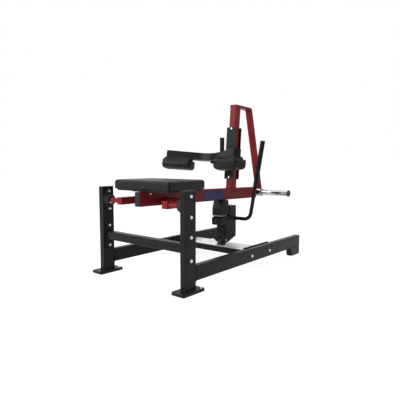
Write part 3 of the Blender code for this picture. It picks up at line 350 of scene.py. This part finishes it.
def rubber(name, stripe=0.0):
    """Dull rubber, with ribs along z where a stripe is given."""
    n = Nodes(name)
    shade = n.mix(n.ramp(n.noise(22, 4), 0, 1, 0.3, 0.7), (0.0095, 0.0090, 0.0090), (0.0150, 0.0145, 0.0145))
    roughness = n.ramp(n.noise(70, 4), 0.58, 0.78, 0.3, 0.7)
    normal = n.bump(n.noise(1000, 3), 0.18, 0.0003)
    if stripe:
        inputs = {"Scale": stripe, "Vector": n.place}
        wave = n.add("ShaderNodeTexWave", inputs, wave_type="BANDS", bands_direction="Z")
        normal = n.bump(wave.outputs["Fac"], 0.5, 0.0006, normal)
    return n.finish(shade, roughness, normal, IOR=1.45, Specular_IOR_Level=0.18)


def plastic():
    """Moulded caps and knobs with a fine spark-eroded grain."""
    n = Nodes("moulded_plastic")
    soft = n.rounded(0.0010)
    shade = n.mix(n.ramp(n.noise(40, 3), 0, 1, 0.3, 0.7), (0.012, 0.012, 0.013), (0.020, 0.020, 0.021))
    roughness = n.ramp(n.noise(150, 3), 0.42, 0.56, 0.3, 0.7)
    grain = n.bump(n.noise(1400, 2), 0.14, 0.0002, soft)
    return n.finish(shade, roughness, grain, IOR=1.48, Specular_IOR_Level=0.22)


def nylon():
    """Milky nylon of the wear pad and the glides, a little scuffed."""
    n = Nodes("pale_nylon_scuffed")
    soft = n.rounded(0.0008)
    scuff = n.noise(35, 5, 0.6, (1.0, 0.3, 1.0))
    shade = n.mix(n.ramp(scuff, 0, 1, 0.35, 0.7), (0.40, 0.40, 0.38), (0.28, 0.28, 0.27))
    grain = n.bump(n.noise(500, 3), 0.12, 0.0003, soft)
    return n.finish(shade, n.ramp(scuff, 0.38, 0.60, 0.3, 0.7), grain, IOR=1.5, Specular_IOR_Level=0.4)


def painted_board():
    """Black paint over plywood, with the grain just showing."""
    n = Nodes("painted_board")
    grain = n.noise(60, 6, 0.7, (0.12, 1.0, 1.0))
    shade = n.mix(n.ramp(grain, 0, 1, 0.3, 0.7), (0.010, 0.010, 0.010), (0.022, 0.022, 0.021))
    roughness = n.ramp(grain, 0.62, 0.82, 0.3, 0.7)
    return n.finish(shade, roughness, n.bump(grain, 0.2, 0.0005), IOR=1.45, Specular_IOR_Level=0.3)


def blue_enamel():
    """The bare panel on the beam: dark blue enamel that is a little cloudy."""
    n = Nodes("blue_enamel")
    shade = n.mix(n.ramp(n.noise(24, 5), 0, 1, 0.3, 0.7), (0.018, 0.014, 0.085), (0.040, 0.032, 0.150))
    roughness = n.ramp(n.noise(90, 3), 0.30, 0.42, 0.3, 0.7)
    return n.finish(shade, roughness, n.bump(n.noise(500, 2), 0.1, 0.0002), IOR=1.5, Specular_IOR_Level=0.25)


BLACK = powder_coat(
    "black_powder_coat_satin", (0.0085, 0.0086, 0.0088), (0.0130, 0.0131, 0.0133), (0.040, 0.040, 0.041),
    rough=(0.29, 0.40), level=0.13,
)
RED = powder_coat(
    "red_powder_coat_satin", (0.200, 0.0095, 0.0130), (0.250, 0.0130, 0.0170), (0.34, 0.040, 0.046),
    rough=(0.32, 0.44), level=0.16,
)
VINYL = vinyl()
CHROME = chrome()
ZINC = zinc()
STEEL = bright_steel("bright_steel", (0.12, 0.30), 0.05)
TREAD = bright_steel("polished_tread", (0.38, 0.48), 0.02)
NYLON = nylon()
IRON = cast_iron()
RUBBER = rubber("moulded_rubber")
GRIP = rubber("ribbed_grip", 95.0)
PLASTIC = plastic()
BOARD = painted_board()
BLUE = blue_enamel()

BY_SLOT = {
    "black_powder_coat": BLACK,
    "red_powder_coat": RED,
    "black_vinyl": VINYL,
    "black_plastic": PLASTIC,
    "black_rubber": RUBBER,
    "chrome": CHROME,
    "bright_steel": STEEL,
    "grey_cast_iron": IRON,
    "painted_board": BOARD,
    "pale_nylon": NYLON,
}
BY_NODE = {"hand_grip": GRIP, "tread_plate": TREAD}
BY_PLATE = {"blue_panel": BLUE, "panel_backing": PLASTIC}
SLOT_OF = {entry["node"]: entry["material_slot"] for entry in frame["record"]["subparts"]}

for name, obj in frame["nodes"].items():
    material = BY_NODE.get(name, BY_SLOT[SLOT_OF[name]])
    for slot in obj.material_slots:
        slot.material = material


def placed(name, data):
    """A new object in the scene."""
    made = bpy.data.objects.new(name, data)
    bpy.context.scene.collection.objects.link(made)
    return made


def piece(name, data, body, slot, material=None):
    """A visible piece that rides on a body, in its slot's material or one of its own."""
    made = placed(name, data)
    data.materials.clear()
    data.materials.append(material or BY_SLOT[slot])
    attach(made, body)
    return made


def mesh_of(shape, name):
    """A bmesh as a mesh."""
    mesh = bpy.data.meshes.new(name)
    shape.to_mesh(mesh)
    shape.free()
    return mesh


def stand_on(place, normal):
    """The matrix that takes z to a face's normal and the origin to a place on it."""
    return Matrix.Translation(place) @ normal.to_track_quat("Z", "Y").to_matrix().to_4x4()


def bolt_shape(shape, place, normal, scale, nut, turn):
    """A chamfered hexagon head or nut on its washer, added to a bmesh."""
    stand = stand_on(place, normal) @ Matrix.Rotation(turn, 4, "Z") @ Matrix.Scale(scale, 4)
    bmesh.ops.create_cone(
        shape, cap_ends=True, segments=24, radius1=WASHER_RADIUS, radius2=WASHER_RADIUS - WASHER_EDGE,
        depth=WASHER_THICK, matrix=stand @ Matrix.Translation((0, 0, WASHER_THICK / 2)),
    )
    corner = BOLT_FLATS / math.sqrt(3)
    top = WASHER_THICK + BOLT_HEAD
    head = bmesh.ops.create_cone(
        shape, cap_ends=True, segments=6, radius1=corner, radius2=corner, depth=BOLT_HEAD,
        matrix=stand @ Matrix.Translation((0, 0, top - BOLT_HEAD / 2)),
    )
    inverse = stand.inverted()
    rim = dict.fromkeys(
        edge
        for vertex in head["verts"]
        for edge in vertex.link_edges
        if all((inverse @ end.co).z > top - NEAR for end in edge.verts)
    )
    bmesh.ops.bevel(
        shape, geom=list(rim), offset=HEAD_CHAMFER * scale, segments=2, profile=0.6, affect="EDGES"
    )
    if nut:
        bmesh.ops.create_cone(
            shape, cap_ends=True, segments=20, radius1=THREAD_RADIUS, radius2=THREAD_RADIUS - THREAD_CHAMFER,
            depth=THREAD_OUT, matrix=stand @ Matrix.Translation((0, 0, top + THREAD_OUT / 4)),
        )


def bolts(name, spots, body, scale=1.0, nut=False):
    """A group of bolts as one piece, from (place, outward normal) pairs."""
    shape = bmesh.new()
    for index, (place, normal) in enumerate(spots):
        bolt_shape(shape, Vector(place), Vector(normal), scale, nut, FIRST_TURN + NEXT_TURN * index)
    piece(name, mesh_of(shape, name), body, "bright_steel", ZINC)


def dome(shape, stand, half_sizes, around, up):
    """A low dome on a face, added to a bmesh: a flattened sphere without its lower part."""
    made = bmesh.ops.create_uvsphere(
        shape, u_segments=around, v_segments=up, radius=1, matrix=stand @ Matrix.Diagonal((*half_sizes, 1))
    )
    inverse = stand.inverted()
    under = [vertex for vertex in made["verts"] if (inverse @ vertex.co).z < -DOME_SUNK]
    bmesh.ops.delete(shape, geom=under, context="VERTS")


def remap(value, pairs):
    """A distance from the middle, carried from old half sizes to new ones and straight in between."""
    size = abs(value)
    old_low = new_low = 0.0
    for old, new in pairs:
        if size <= old or old == pairs[-1][0]:
            break
        old_low, new_low = old, new
    grown = new_low + (size - old_low) * (new - new_low) / (old - old_low)
    return math.copysign(grown, value)


def mast_y(z):
    """The mast's centre line at a height."""
    return row_y(MAST_BASE[0]) + MAST_LEAN * (z - MAST_BASE[1])


def widened(node, name, body, slot, across, depth=None):
    """A copy of a node's mesh with new half sizes across x and through the leaning mast, in its place."""
    mesh = frame["nodes"][node].data.copy()
    square = math.cos(math.atan(MAST_LEAN))
    for vertex in mesh.vertices:
        vertex.co.x = remap(vertex.co.x, across)
        if depth:
            axis = mast_y(vertex.co.z)
            vertex.co.y = axis + remap((vertex.co.y - axis) * square, depth) / square
    made = piece(name, mesh, body, slot)
    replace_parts(made, node)
    return made


def weld(name, path, body, slot, closed=True):
    """A rippled bead along a path of points."""
    points = [Vector(point) for point in path]
    if closed:
        points.append(points[0])
    places = []
    for start, end in zip(points, points[1:]):
        count = max(2, round((end - start).length / WELD_RIPPLE))
        places += [start.lerp(end, step / count) for step in range(count)]
    if not closed:
        places.append(points[-1])
    curve = bpy.data.curves.new(name, "CURVE")
    curve.dimensions = "3D"
    curve.bevel_depth = WELD_RADIUS
    curve.bevel_resolution = 1
    curve.use_fill_caps = not closed
    spline = curve.splines.new("POLY")
    spline.points.add(len(places) - 1)
    for index, (point, place) in enumerate(zip(spline.points, places)):
        shift = noise.noise(place * WELD_GRAIN) * WELD_UNEVEN
        point.co = (*place, 1)
        point.radius = (1.0 if index % 2 else WELD_VALLEY) + shift
    spline.use_cyclic_u = closed
    piece(name, curve, body, slot)


def rectangle(low, high, axis, level):
    """Four corners of a rectangle square to an axis."""
    a, b = [other for other in range(3) if other != axis]
    corners = []
    for first, second in ((0, 0), (1, 0), (1, 1), (0, 1)):
        corner = Vector((0, 0, 0))
        corner[axis] = level
        corner[a] = (low, high)[first][a]
        corner[b] = (low, high)[second][b]
        corners.append(corner)
    return corners


def soften(shape, edges, radius, segments=5):
    bmesh.ops.bevel(shape, geom=edges, offset=radius, segments=segments, profile=0.5, affect="EDGES")


def pulled(outline, way):
    """A bmesh of the solid that a flat outline sweeps when it is pulled along a vector."""
    shape = bmesh.new()
    face = shape.faces.new([shape.verts.new(point) for point in outline])
    region = bmesh.ops.extrude_face_region(shape, geom=[face])
    moved = [item for item in region["geom"] if isinstance(item, bmesh.types.BMVert)]
    bmesh.ops.translate(shape, verts=moved, vec=way)
    bmesh.ops.recalc_face_normals(shape, faces=shape.faces)
    return shape


def rounded_block(size, radius, segments):
    """A box mesh round its own middle with rounded edges."""
    shape = bmesh.new()
    bmesh.ops.create_cube(shape, size=1, matrix=Matrix.Diagonal((*size, 1)))
    soften(shape, shape.edges[:], radius, segments)
    return mesh_of(shape, "block")


def seat_block(size, corner, top_radius, low_radius):
    """A cushion's core: rounded corners in plan, a soft upper rim and a tight lower one."""
    half = size / 2
    outline = []
    for index, (sign_x, sign_y) in enumerate(((1, 1), (-1, 1), (-1, -1), (1, -1))):
        for step in range(7):
            angle = math.radians(90 * index + 15 * step)
            outline.append((
                sign_x * (half.x - corner) + corner * math.cos(angle),
                sign_y * (half.y - corner) + corner * math.sin(angle),
                -half.z,
            ))
    shape = pulled(outline, (0, 0, size.z))
    for level, radius in ((half.z, top_radius), (-half.z, low_radius)):
        rim = [edge for edge in shape.edges if all(abs(end.co.z - level) < SAME for end in edge.verts)]
        soften(shape, rim, radius)
    return mesh_of(shape, "seat")


def pad_block(size, top_radius, low_radius, end_radius):
    """A pad whose section across its length has small corners above and large ones below."""
    length, depth, height = size
    outline = []
    for (sign_y, sign_z), radius, start in (
        ((1, 1), top_radius, 0), ((-1, 1), top_radius, 90),
        ((-1, -1), low_radius, 180), ((1, -1), low_radius, 270),
    ):
        centre = (sign_y * (depth / 2 - radius), sign_z * (height / 2 - radius))
        for step in range(9):
            angle = math.radians(start + 90 * step / 8)
            outline.append((
                -length / 2, centre[0] + radius * math.cos(angle), centre[1] + radius * math.sin(angle),
            ))
    shape = pulled(outline, (length, 0, 0))
    ends = [edge for edge in shape.edges if abs(edge.verts[0].co.x - edge.verts[1].co.x) < SAME]
    soften(shape, ends, end_radius)
    return mesh_of(shape, "pad")


def current_mesh(obj):
    """An object's mesh as its modifiers leave it."""
    graph = bpy.context.evaluated_depsgraph_get()
    return bpy.data.meshes.new_from_object(obj.evaluated_get(graph))


def blown_up(made):
    """The mesh of an object whose surface is a cover under pressure, without gravity."""
    cloth = made.modifiers.new("cover", "CLOTH")
    cloth.settings.quality = 5
    cloth.settings.tension_stiffness = 20
    cloth.settings.compression_stiffness = 20
    cloth.settings.shear_stiffness = 8
    cloth.settings.bending_stiffness = 1.0
    cloth.settings.use_pressure = True
    cloth.settings.uniform_pressure_force = COVER_PRESSURE
    cloth.settings.effector_weights.gravity = 0
    cloth.collision_settings.use_collision = False
    cloth.point_cache.frame_start = 1
    cloth.point_cache.frame_end = COVER_FRAMES
    for number in range(1, COVER_FRAMES + 1):
        bpy.context.scene.frame_set(number)
    return current_mesh(made)


def stuffed(mesh, swell, rest_low=None, rest_high=None):
    """The mesh blown up like a stuffed cover, with each point's move capped, and flat where it rests."""
    made = placed("stuffed", mesh)
    remesh = made.modifiers.new("even mesh", "REMESH")
    remesh.mode = "VOXEL"
    remesh.voxel_size = VOXEL
    bpy.context.view_layer.update()
    even = current_mesh(made)
    made.modifiers.clear()
    made.data = even
    before = [vertex.co.copy() for vertex in even.vertices]
    blown = blown_up(made)
    made.modifiers.clear()
    made.data = blown
    bpy.context.scene.frame_set(1)
    for vertex, start in zip(made.data.vertices, before):
        move = vertex.co - start
        if move.length > swell:
            vertex.co = start + move.normalized() * swell
        if rest_low is not None:
            vertex.co.z = max(vertex.co.z, rest_low)
        if rest_high is not None:
            vertex.co.z = min(vertex.co.z, rest_high)
    even_out = made.modifiers.new("even out", "SMOOTH")
    even_out.factor = 0.5
    even_out.iterations = 3
    finer = made.modifiers.new("finer", "SUBSURF")
    finer.levels = 1
    finer.render_levels = 1
    done = current_mesh(made)
    bpy.data.objects.remove(made, do_unlink=True)
    done.shade_smooth()
    return done


def make_seat():
    """The seat cushion: a vinyl cover pulled over foam, flat where it lies on its board."""
    low, high = node_box["seat_pad"]
    core = high - low + Vector((2 * SEAT_GROW, 2 * SEAT_GROW, SEAT_LIFT))
    block = seat_block(core, SEAT_CORNER, SEAT_TOP_EDGE, SEAT_LOW_EDGE)
    mesh = stuffed(block, SEAT_SWELL, rest_low=-core.z / 2)
    cushion = piece("seat_cushion", mesh, "lever", "black_vinyl")
    cushion.location = ((low.x + high.x) / 2, (low.y + high.y) / 2, low.z + core.z / 2)
    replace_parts(cushion, "seat_pad")


def make_thigh_pads():
    """The thigh cushions: each is measured in its own turned frame, blown up and set back in place."""
    for side, sign in (("left", -1), ("right", 1)):
        toe = Matrix.Rotation(-sign * math.radians(PAD_TOE), 4, "Z")
        turn = Matrix.Rotation(-math.radians(PAD_TILT), 4, "X") @ toe
        inverse = turn.to_3x3().inverted()
        vertices = frame["nodes"][f"thigh_pad_{side}"].data.vertices
        places = [inverse @ vertex.co for vertex in vertices]
        low = Vector([min(place[axis] for place in places) for axis in range(3)])
        high = Vector([max(place[axis] for place in places) for axis in range(3)])
        core = high - low + PAD_GROW
        block = pad_block(core, PAD_TOP_EDGE, PAD_LOW_EDGE, PAD_END_EDGE)
        mesh = stuffed(block, PAD_SWELL, rest_high=core.z / 2)
        cushion = piece(f"thigh_cushion_{side}", mesh, "carriage", "black_vinyl")
        centre = (low + high) / 2
        centre.y += PAD_BACK
        centre.z = high.z - core.z / 2
        mesh.transform(turn @ Matrix.Translation(centre))
        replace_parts(cushion, f"thigh_pad_{side}")


def make_mast():
    """The mast, its strap, the guide plates and the carriage, as wide as the photograph has them."""
    widened("mast", "mast_tube", "lever", "red_powder_coat", MAST_ACROSS, MAST_DEPTH)
    strap = widened("brace_strap", "mast_strap", "lever", "red_powder_coat", STRAP_ACROSS)
    front = min(vertex.co.y for vertex in strap.data.vertices) + STRAP_FRONT
    foot = middle("sleeve_boss").z
    top = max(vertex.co.z for vertex in strap.data.vertices)
    for vertex in strap.data.vertices:
        if vertex.co.y < front:
            vertex.co.y -= STRAP_FORWARD
        else:
            vertex.co.y += STRAP_BACK * (vertex.co.z - foot) / (top - foot)
    for face in ("front", "rear"):
        widened(
            f"guide_plate_{face}", f"guide_strip_{face}", "lever", "black_powder_coat",
            GUIDE_ACROSS, GUIDE_DEPTH,
        )
    widened(
        "carriage_sleeve", "carriage_box", "carriage", "black_powder_coat",
        CARRIAGE_ACROSS, CARRIAGE_DEPTH,
    )
    pin = frame["nodes"]["lock_pin"].data.copy()
    for vertex in pin.vertices:
        vertex.co.x = max(vertex.co.x, MAST_ACROSS[1][1] + PIN_SHORT)
    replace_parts(piece("pull_pin", pin, "lock_pin", "bright_steel"), "lock_pin")


def make_upright_bolts():
    """Bolts through each upright, with nuts behind the bearing housings and the crossbar's flanges."""
    flange = node_box["front_crossbar"][1].x - BEAM_FLANGE
    for side, sign in (("left", -1), ("right", 1)):
        low, high = node_box[f"upright_{side}"]
        outer = high.x if sign > 0 else low.x
        y = middle(f"upright_{side}").y
        spots = [((outer, y, z), (sign, 0, 0)) for z in UPRIGHT_BOLT_Z]
        bolts(f"upright_bolts_{side}", spots, "frame")
        low, high = node_box[f"bearing_housing_{side}"]
        housing = (high.x if sign > 0 else -low.x) - HOUSING_FLANGE
        nuts = [((sign * housing, y, z), (-sign, 0, 0)) for z in BEARING_BOLT_Z]
        nuts += [((sign * flange, y, z), (-sign, 0, 0)) for z in CROSSBAR_BOLT_Z]
        bolts(f"upright_nuts_{side}", nuts, "frame", NUT_SCALE, nut=True)


def make_rail_bolts():
    """Bolts through each rail, and the nut that shows on the platform's flange."""
    flange = node_box["platform_beam"][1].x - BEAM_FLANGE
    for side, sign in (("left", -1), ("right", 1)):
        low, high = node_box[f"rail_{side}"]
        outer = high.x if sign > 0 else low.x
        z = middle(f"rail_{side}").z - RAIL_BOLT_DROP
        bolts(f"rail_bolts_{side}", [((outer, row_y(y), z), (sign, 0, 0)) for y in RAIL_BOLT_Y], "frame")
        nuts = [((sign * flange, row_y(RAIL_BOLT_Y[0]), z), (-sign, 0, 0))]
        bolts(f"rail_nuts_{side}", nuts, "frame", NUT_SCALE, nut=True)


def make_guide_bolts():
    """Low button heads near the guide plates' ends, which the carriage can pass over."""
    lean = math.atan(MAST_LEAN)
    along = Vector((0, math.sin(lean), math.cos(lean)))
    z = (middle("guide_plate_front").z + middle("guide_plate_rear").z) / 2
    shape = bmesh.new()
    for sign in (-1, 1):
        normal = Vector((0, sign * math.cos(lean), -sign * math.sin(lean)))
        centre = Vector((0, mast_y(z), z)) + normal * GUIDE_DEPTH[1][1]
        for end in (-1, 1):
            dome(shape, stand_on(centre + along * end * GUIDE_REACH, normal), GUIDE_BUTTON, 24, 12)
    mesh = mesh_of(shape, "guide_bolts")
    mesh.shade_smooth()
    piece("guide_bolts", mesh, "lever", "bright_steel", ZINC)


def make_glides():
    """Nylon glides between the carriage and the mast's sides, standing a little above the carriage."""
    low, high = node_box["carriage_sleeve"]
    z = (low.z + high.z) / 2 + GLIDE_OUT / 2
    height = high.z - low.z + GLIDE_OUT - GLIDE_SHORT
    lean = Matrix.Rotation(-math.atan(MAST_LEAN), 4, "X")
    for side, sign in (("left", -1), ("right", 1)):
        mesh = rounded_block(Vector((*GLIDE, height)), GLIDE_EDGE, 2)
        x = sign * (MAST_ACROSS[1][1] + GLIDE_GAP + GLIDE[0] / 2)
        mesh.transform(Matrix.Translation((x, mast_y(z), z)) @ lean)
        piece(f"carriage_glide_{side}", mesh, "carriage", "pale_nylon")


def make_link_weld():
    """A bead where the carriage's link meets the thigh bar."""
    tilt = math.radians(PAD_TILT)
    along = Vector((0, math.cos(tilt), -math.sin(tilt)))
    places = [vertex.co.copy() for vertex in frame["nodes"]["thigh_link"].data.vertices]
    start = min(place.dot(along) for place in places)
    ends = [place for place in places if place.dot(along) < start + LINK_END]
    x = max(place.x for place in ends)
    top = max(ends, key=lambda place: place.z)
    low = min(ends, key=lambda place: place.z)
    ring = [(-x, low.y, low.z), (x, low.y, low.z), (x, top.y, top.z), (-x, top.y, top.z)]
    weld("link_weld", ring, "carriage", "black_powder_coat")


def make_seat_bolts():
    """One bolt on each side of the beam under the front half of the seat."""
    low, high = node_box["main_beam"]
    y = row_y(SEAT_BOLT_Y)
    spots = [((low.x, y, SEAT_BOLT_Z), (-1, 0, 0)), ((high.x, y, SEAT_BOLT_Z), (1, 0, 0))]
    bolts("seat_bolts", spots, "lever", SEAT_BOLT_SCALE)


def make_anchor_bolts():
    """A bolt in the rear hole of each base plate; the front hole stays open."""
    for side in ("left", "right"):
        centre = middle(f"base_plate_{side}")
        top = node_box[f"base_plate_{side}"][1].z
        spot = (centre.x + ANCHOR_X, centre.y + ANCHOR_Y, top)
        bolts(f"anchor_bolt_{side}", [(spot, (0, 0, 1))], "frame", ANCHOR_SCALE)


def make_panel():
    """A bare blue panel on the right of the beam, on a thin backing that shows round its edge."""
    face = node_box["main_beam"][1].x
    start, end = (row_y(y) for y in PANEL_Y)
    y = (start + end) / 2
    z = PANEL_Z - PANEL_SLOPE * (y - SHIFT_Y)
    slope = Matrix.Rotation(-math.atan(PANEL_SLOPE), 4, "X")
    for name, thick, longer, height, edge, out in PANEL_PLATES:
        mesh = rounded_block(Vector((thick, end - start + longer, height)), edge, 1)
        mesh.transform(Matrix.Translation((face + out, y, z)) @ slope)
        piece(name, mesh, "lever", "black_plastic", BY_PLATE[name])


def make_tread():
    """Raised lens-shaped lugs on the foot plate, turned alternately, with room left for the catch."""
    low, high = node_box["tread_plate"]
    columns = int((high.x - low.x - LUG_MARGIN[0]) / LUG_PITCH)
    rows = int((high.y - low.y - LUG_MARGIN[1]) / LUG_PITCH)
    centre = (low + high) / 2
    catch_low, catch_high = node_box["catch_lug"]
    near_x, near_y = LUG_CLEAR
    shape = bmesh.new()
    for column in range(columns):
        for row in range(rows):
            x = centre.x + (column - (columns - 1) / 2) * LUG_PITCH
            y = centre.y + (row - (rows - 1) / 2) * LUG_PITCH
            beside = catch_low.x - near_x < x < catch_high.x + near_x
            if beside and catch_low.y - near_y < y < catch_high.y + near_y:
                continue
            turn = math.radians(45 if (column + row) % 2 else -45)
            dome(shape, Matrix.Translation((x, y, high.z)) @ Matrix.Rotation(turn, 4, "Z"), LUG, 12, 8)
    mesh = mesh_of(shape, "tread_lugs")
    mesh.shade_smooth()
    piece("tread_lugs", mesh, "frame", "bright_steel", TREAD)


def make_welds():
    """Beads where the frame's and the lever's tubes are joined."""
    for side, sign in (("left", -1), ("right", 1)):
        low, high = node_box[f"upright_{side}"]
        weld(f"upright_weld_{side}", rectangle(low, high, 2, low.z), "frame", "black_powder_coat")
        low, high = node_box[f"rail_{side}"]
        weld(f"rail_weld_{side}", rectangle(low, high, 1, low.y), "frame", "black_powder_coat")
        low, high = node_box[f"rail_foot_{side}"]
        path = [(low.x, low.y, high.z), (high.x, low.y, high.z), (high.x, high.y - FOOT_WELD_SHORT, high.z)]
        weld(f"foot_weld_{side}", path, "frame", "black_powder_coat", closed=False)
        low, high = node_box[f"pivot_arm_{side}"]
        beam = node_box["main_beam"][1].x * sign
        stub = rectangle(Vector((beam, high.y - STUB_REACH, low.z)), high, 0, beam)
        weld(f"stub_weld_{side}", stub, "lever", "red_powder_coat")
        low, high = node_box[f"pivot_shaft_{side}"]
        x = low.x if sign > 0 else high.x
        centre = middle(f"pivot_shaft_{side}")
        radius = (high.z - low.z) / 2
        turns = [2 * math.pi * step / SHAFT_STEPS for step in range(SHAFT_STEPS)]
        ring = [(x, centre.y + radius * math.cos(turn), centre.z + radius * math.sin(turn)) for turn in turns]
        weld(f"shaft_weld_{side}", ring, "lever", "red_powder_coat")
    half = MAST_ACROSS[1][1]
    deep = MAST_DEPTH[1][1]
    centre = mast_y(MAST_BASE[1])
    front = (centre - deep, MAST_BASE[1] + MAST_WELD_FRONT)
    rear = (centre + deep, MAST_BASE[1] + MAST_WELD_REAR)
    ring = [(-half, *front), (half, *front), (half, *rear), (-half, *rear)]
    weld("mast_weld", ring, "lever", "red_powder_coat")


def background_rays(tree, paths):
    """1 for the rays that show the background: the camera's, glossy ones and those through clear things."""
    seen = paths.outputs["Is Camera Ray"]
    for ray in ("Is Glossy Ray", "Is Transmission Ray"):
        seen = calculate(tree, "ADD", seen, paths.outputs[ray], use_clamp=True)
    return seen


def make_floor():
    """A large pale floor: white to the camera and to reflections where nothing shades it."""
    mesh = bpy.data.meshes.new("floor")
    corners = [(FLOOR_REACH * x, FLOOR_REACH * y, 0) for x, y in ((-1, -1), (1, -1), (1, 1), (-1, 1))]
    mesh.from_pydata(corners, [], [(0, 1, 2, 3)])
    floor = placed("floor", mesh)
    floor.location.z = -FLOOR_DROP
    material = bpy.data.materials.new("pale_floor")
    material.use_nodes = True
    tree = material.node_tree
    tree.nodes.clear()
    seen = background_rays(tree, add_node(tree, "ShaderNodeLightPath"))
    colour = map_range(tree, seen, FLOOR_PALE, FLOOR_SHADE)
    matt = add_node(tree, "ShaderNodeBsdfDiffuse", {"Color": colour})
    strength = calculate(tree, "MULTIPLY", seen, FLOOR_GLOW)
    glow = add_node(tree, "ShaderNodeEmission", {"Strength": strength})
    both = add_node(tree, "ShaderNodeAddShader", {0: matt.outputs[0], 1: glow.outputs[0]})
    add_node(tree, "ShaderNodeOutputMaterial", {"Surface": both.outputs[0]})
    mesh.materials.append(material)


def make_world():
    """White to the camera, white with a dark band to reflections, and a soft grey light to the rest."""
    world = bpy.data.worlds.new("studio")
    bpy.context.scene.world = world
    world.use_nodes = True
    tree = world.node_tree
    tree.nodes.clear()
    place = add_node(tree, "ShaderNodeTexCoord").outputs["Generated"]
    axes = add_node(tree, "ShaderNodeSeparateXYZ", {0: place})
    fall = map_range(tree, axes.outputs["X"], WORLD_LIGHT, SIDE_LIGHT, *SIDE_FALL)
    light = add_node(tree, "ShaderNodeBackground", {"Color": WHITE, "Strength": fall})
    paths = add_node(tree, "ShaderNodeLightPath")
    shade = paths.outputs["Is Glossy Ray"]
    for axis, start, end, low, high in DARK_SIDES:
        shade = calculate(tree, "MULTIPLY", shade, map_range(tree, axes.outputs[axis], low, high, start, end))
    left = calculate(tree, "SUBTRACT", 1, shade)
    white = add_node(tree, "ShaderNodeBackground", {"Color": WHITE, "Strength": left})
    inputs = {"Fac": background_rays(tree, paths), 1: light.outputs[0], 2: white.outputs[0]}
    blend = add_node(tree, "ShaderNodeMixShader", inputs)
    add_node(tree, "ShaderNodeOutputWorld", {"Surface": blend.outputs[0]})


def make_lights():
    """Large soft lamps: above, in front, and a faint one at the right."""
    for name, place, size, watts in LAMPS:
        data = bpy.data.lights.new(name, "AREA")
        data.shape = "RECTANGLE"
        data.size, data.size_y = size
        data.energy = watts
        made = placed(name, data)
        made.location = place
        made.rotation_euler = (LAMP_TARGET - Vector(place)).to_track_quat("-Z", "Y").to_euler()


def make_camera():
    data = bpy.data.cameras.new("camera")
    data.lens = CAMERA_LENS
    data.sensor_width = SENSOR
    made = placed("camera", data)
    made.location = CAMERA_PLACE
    made.rotation_euler = (math.radians(90 - CAMERA_DOWN), 0, math.radians(CAMERA_YAW))
    bpy.context.scene.camera = made


make_seat()
make_thigh_pads()
make_mast()
make_upright_bolts()
make_rail_bolts()
make_guide_bolts()
make_glides()
make_link_weld()
make_seat_bolts()
make_anchor_bolts()
make_panel()
make_tread()
make_welds()
make_floor()
make_world()
make_lights()
make_camera()
bpy.context.scene.view_settings.view_transform = "Standard"
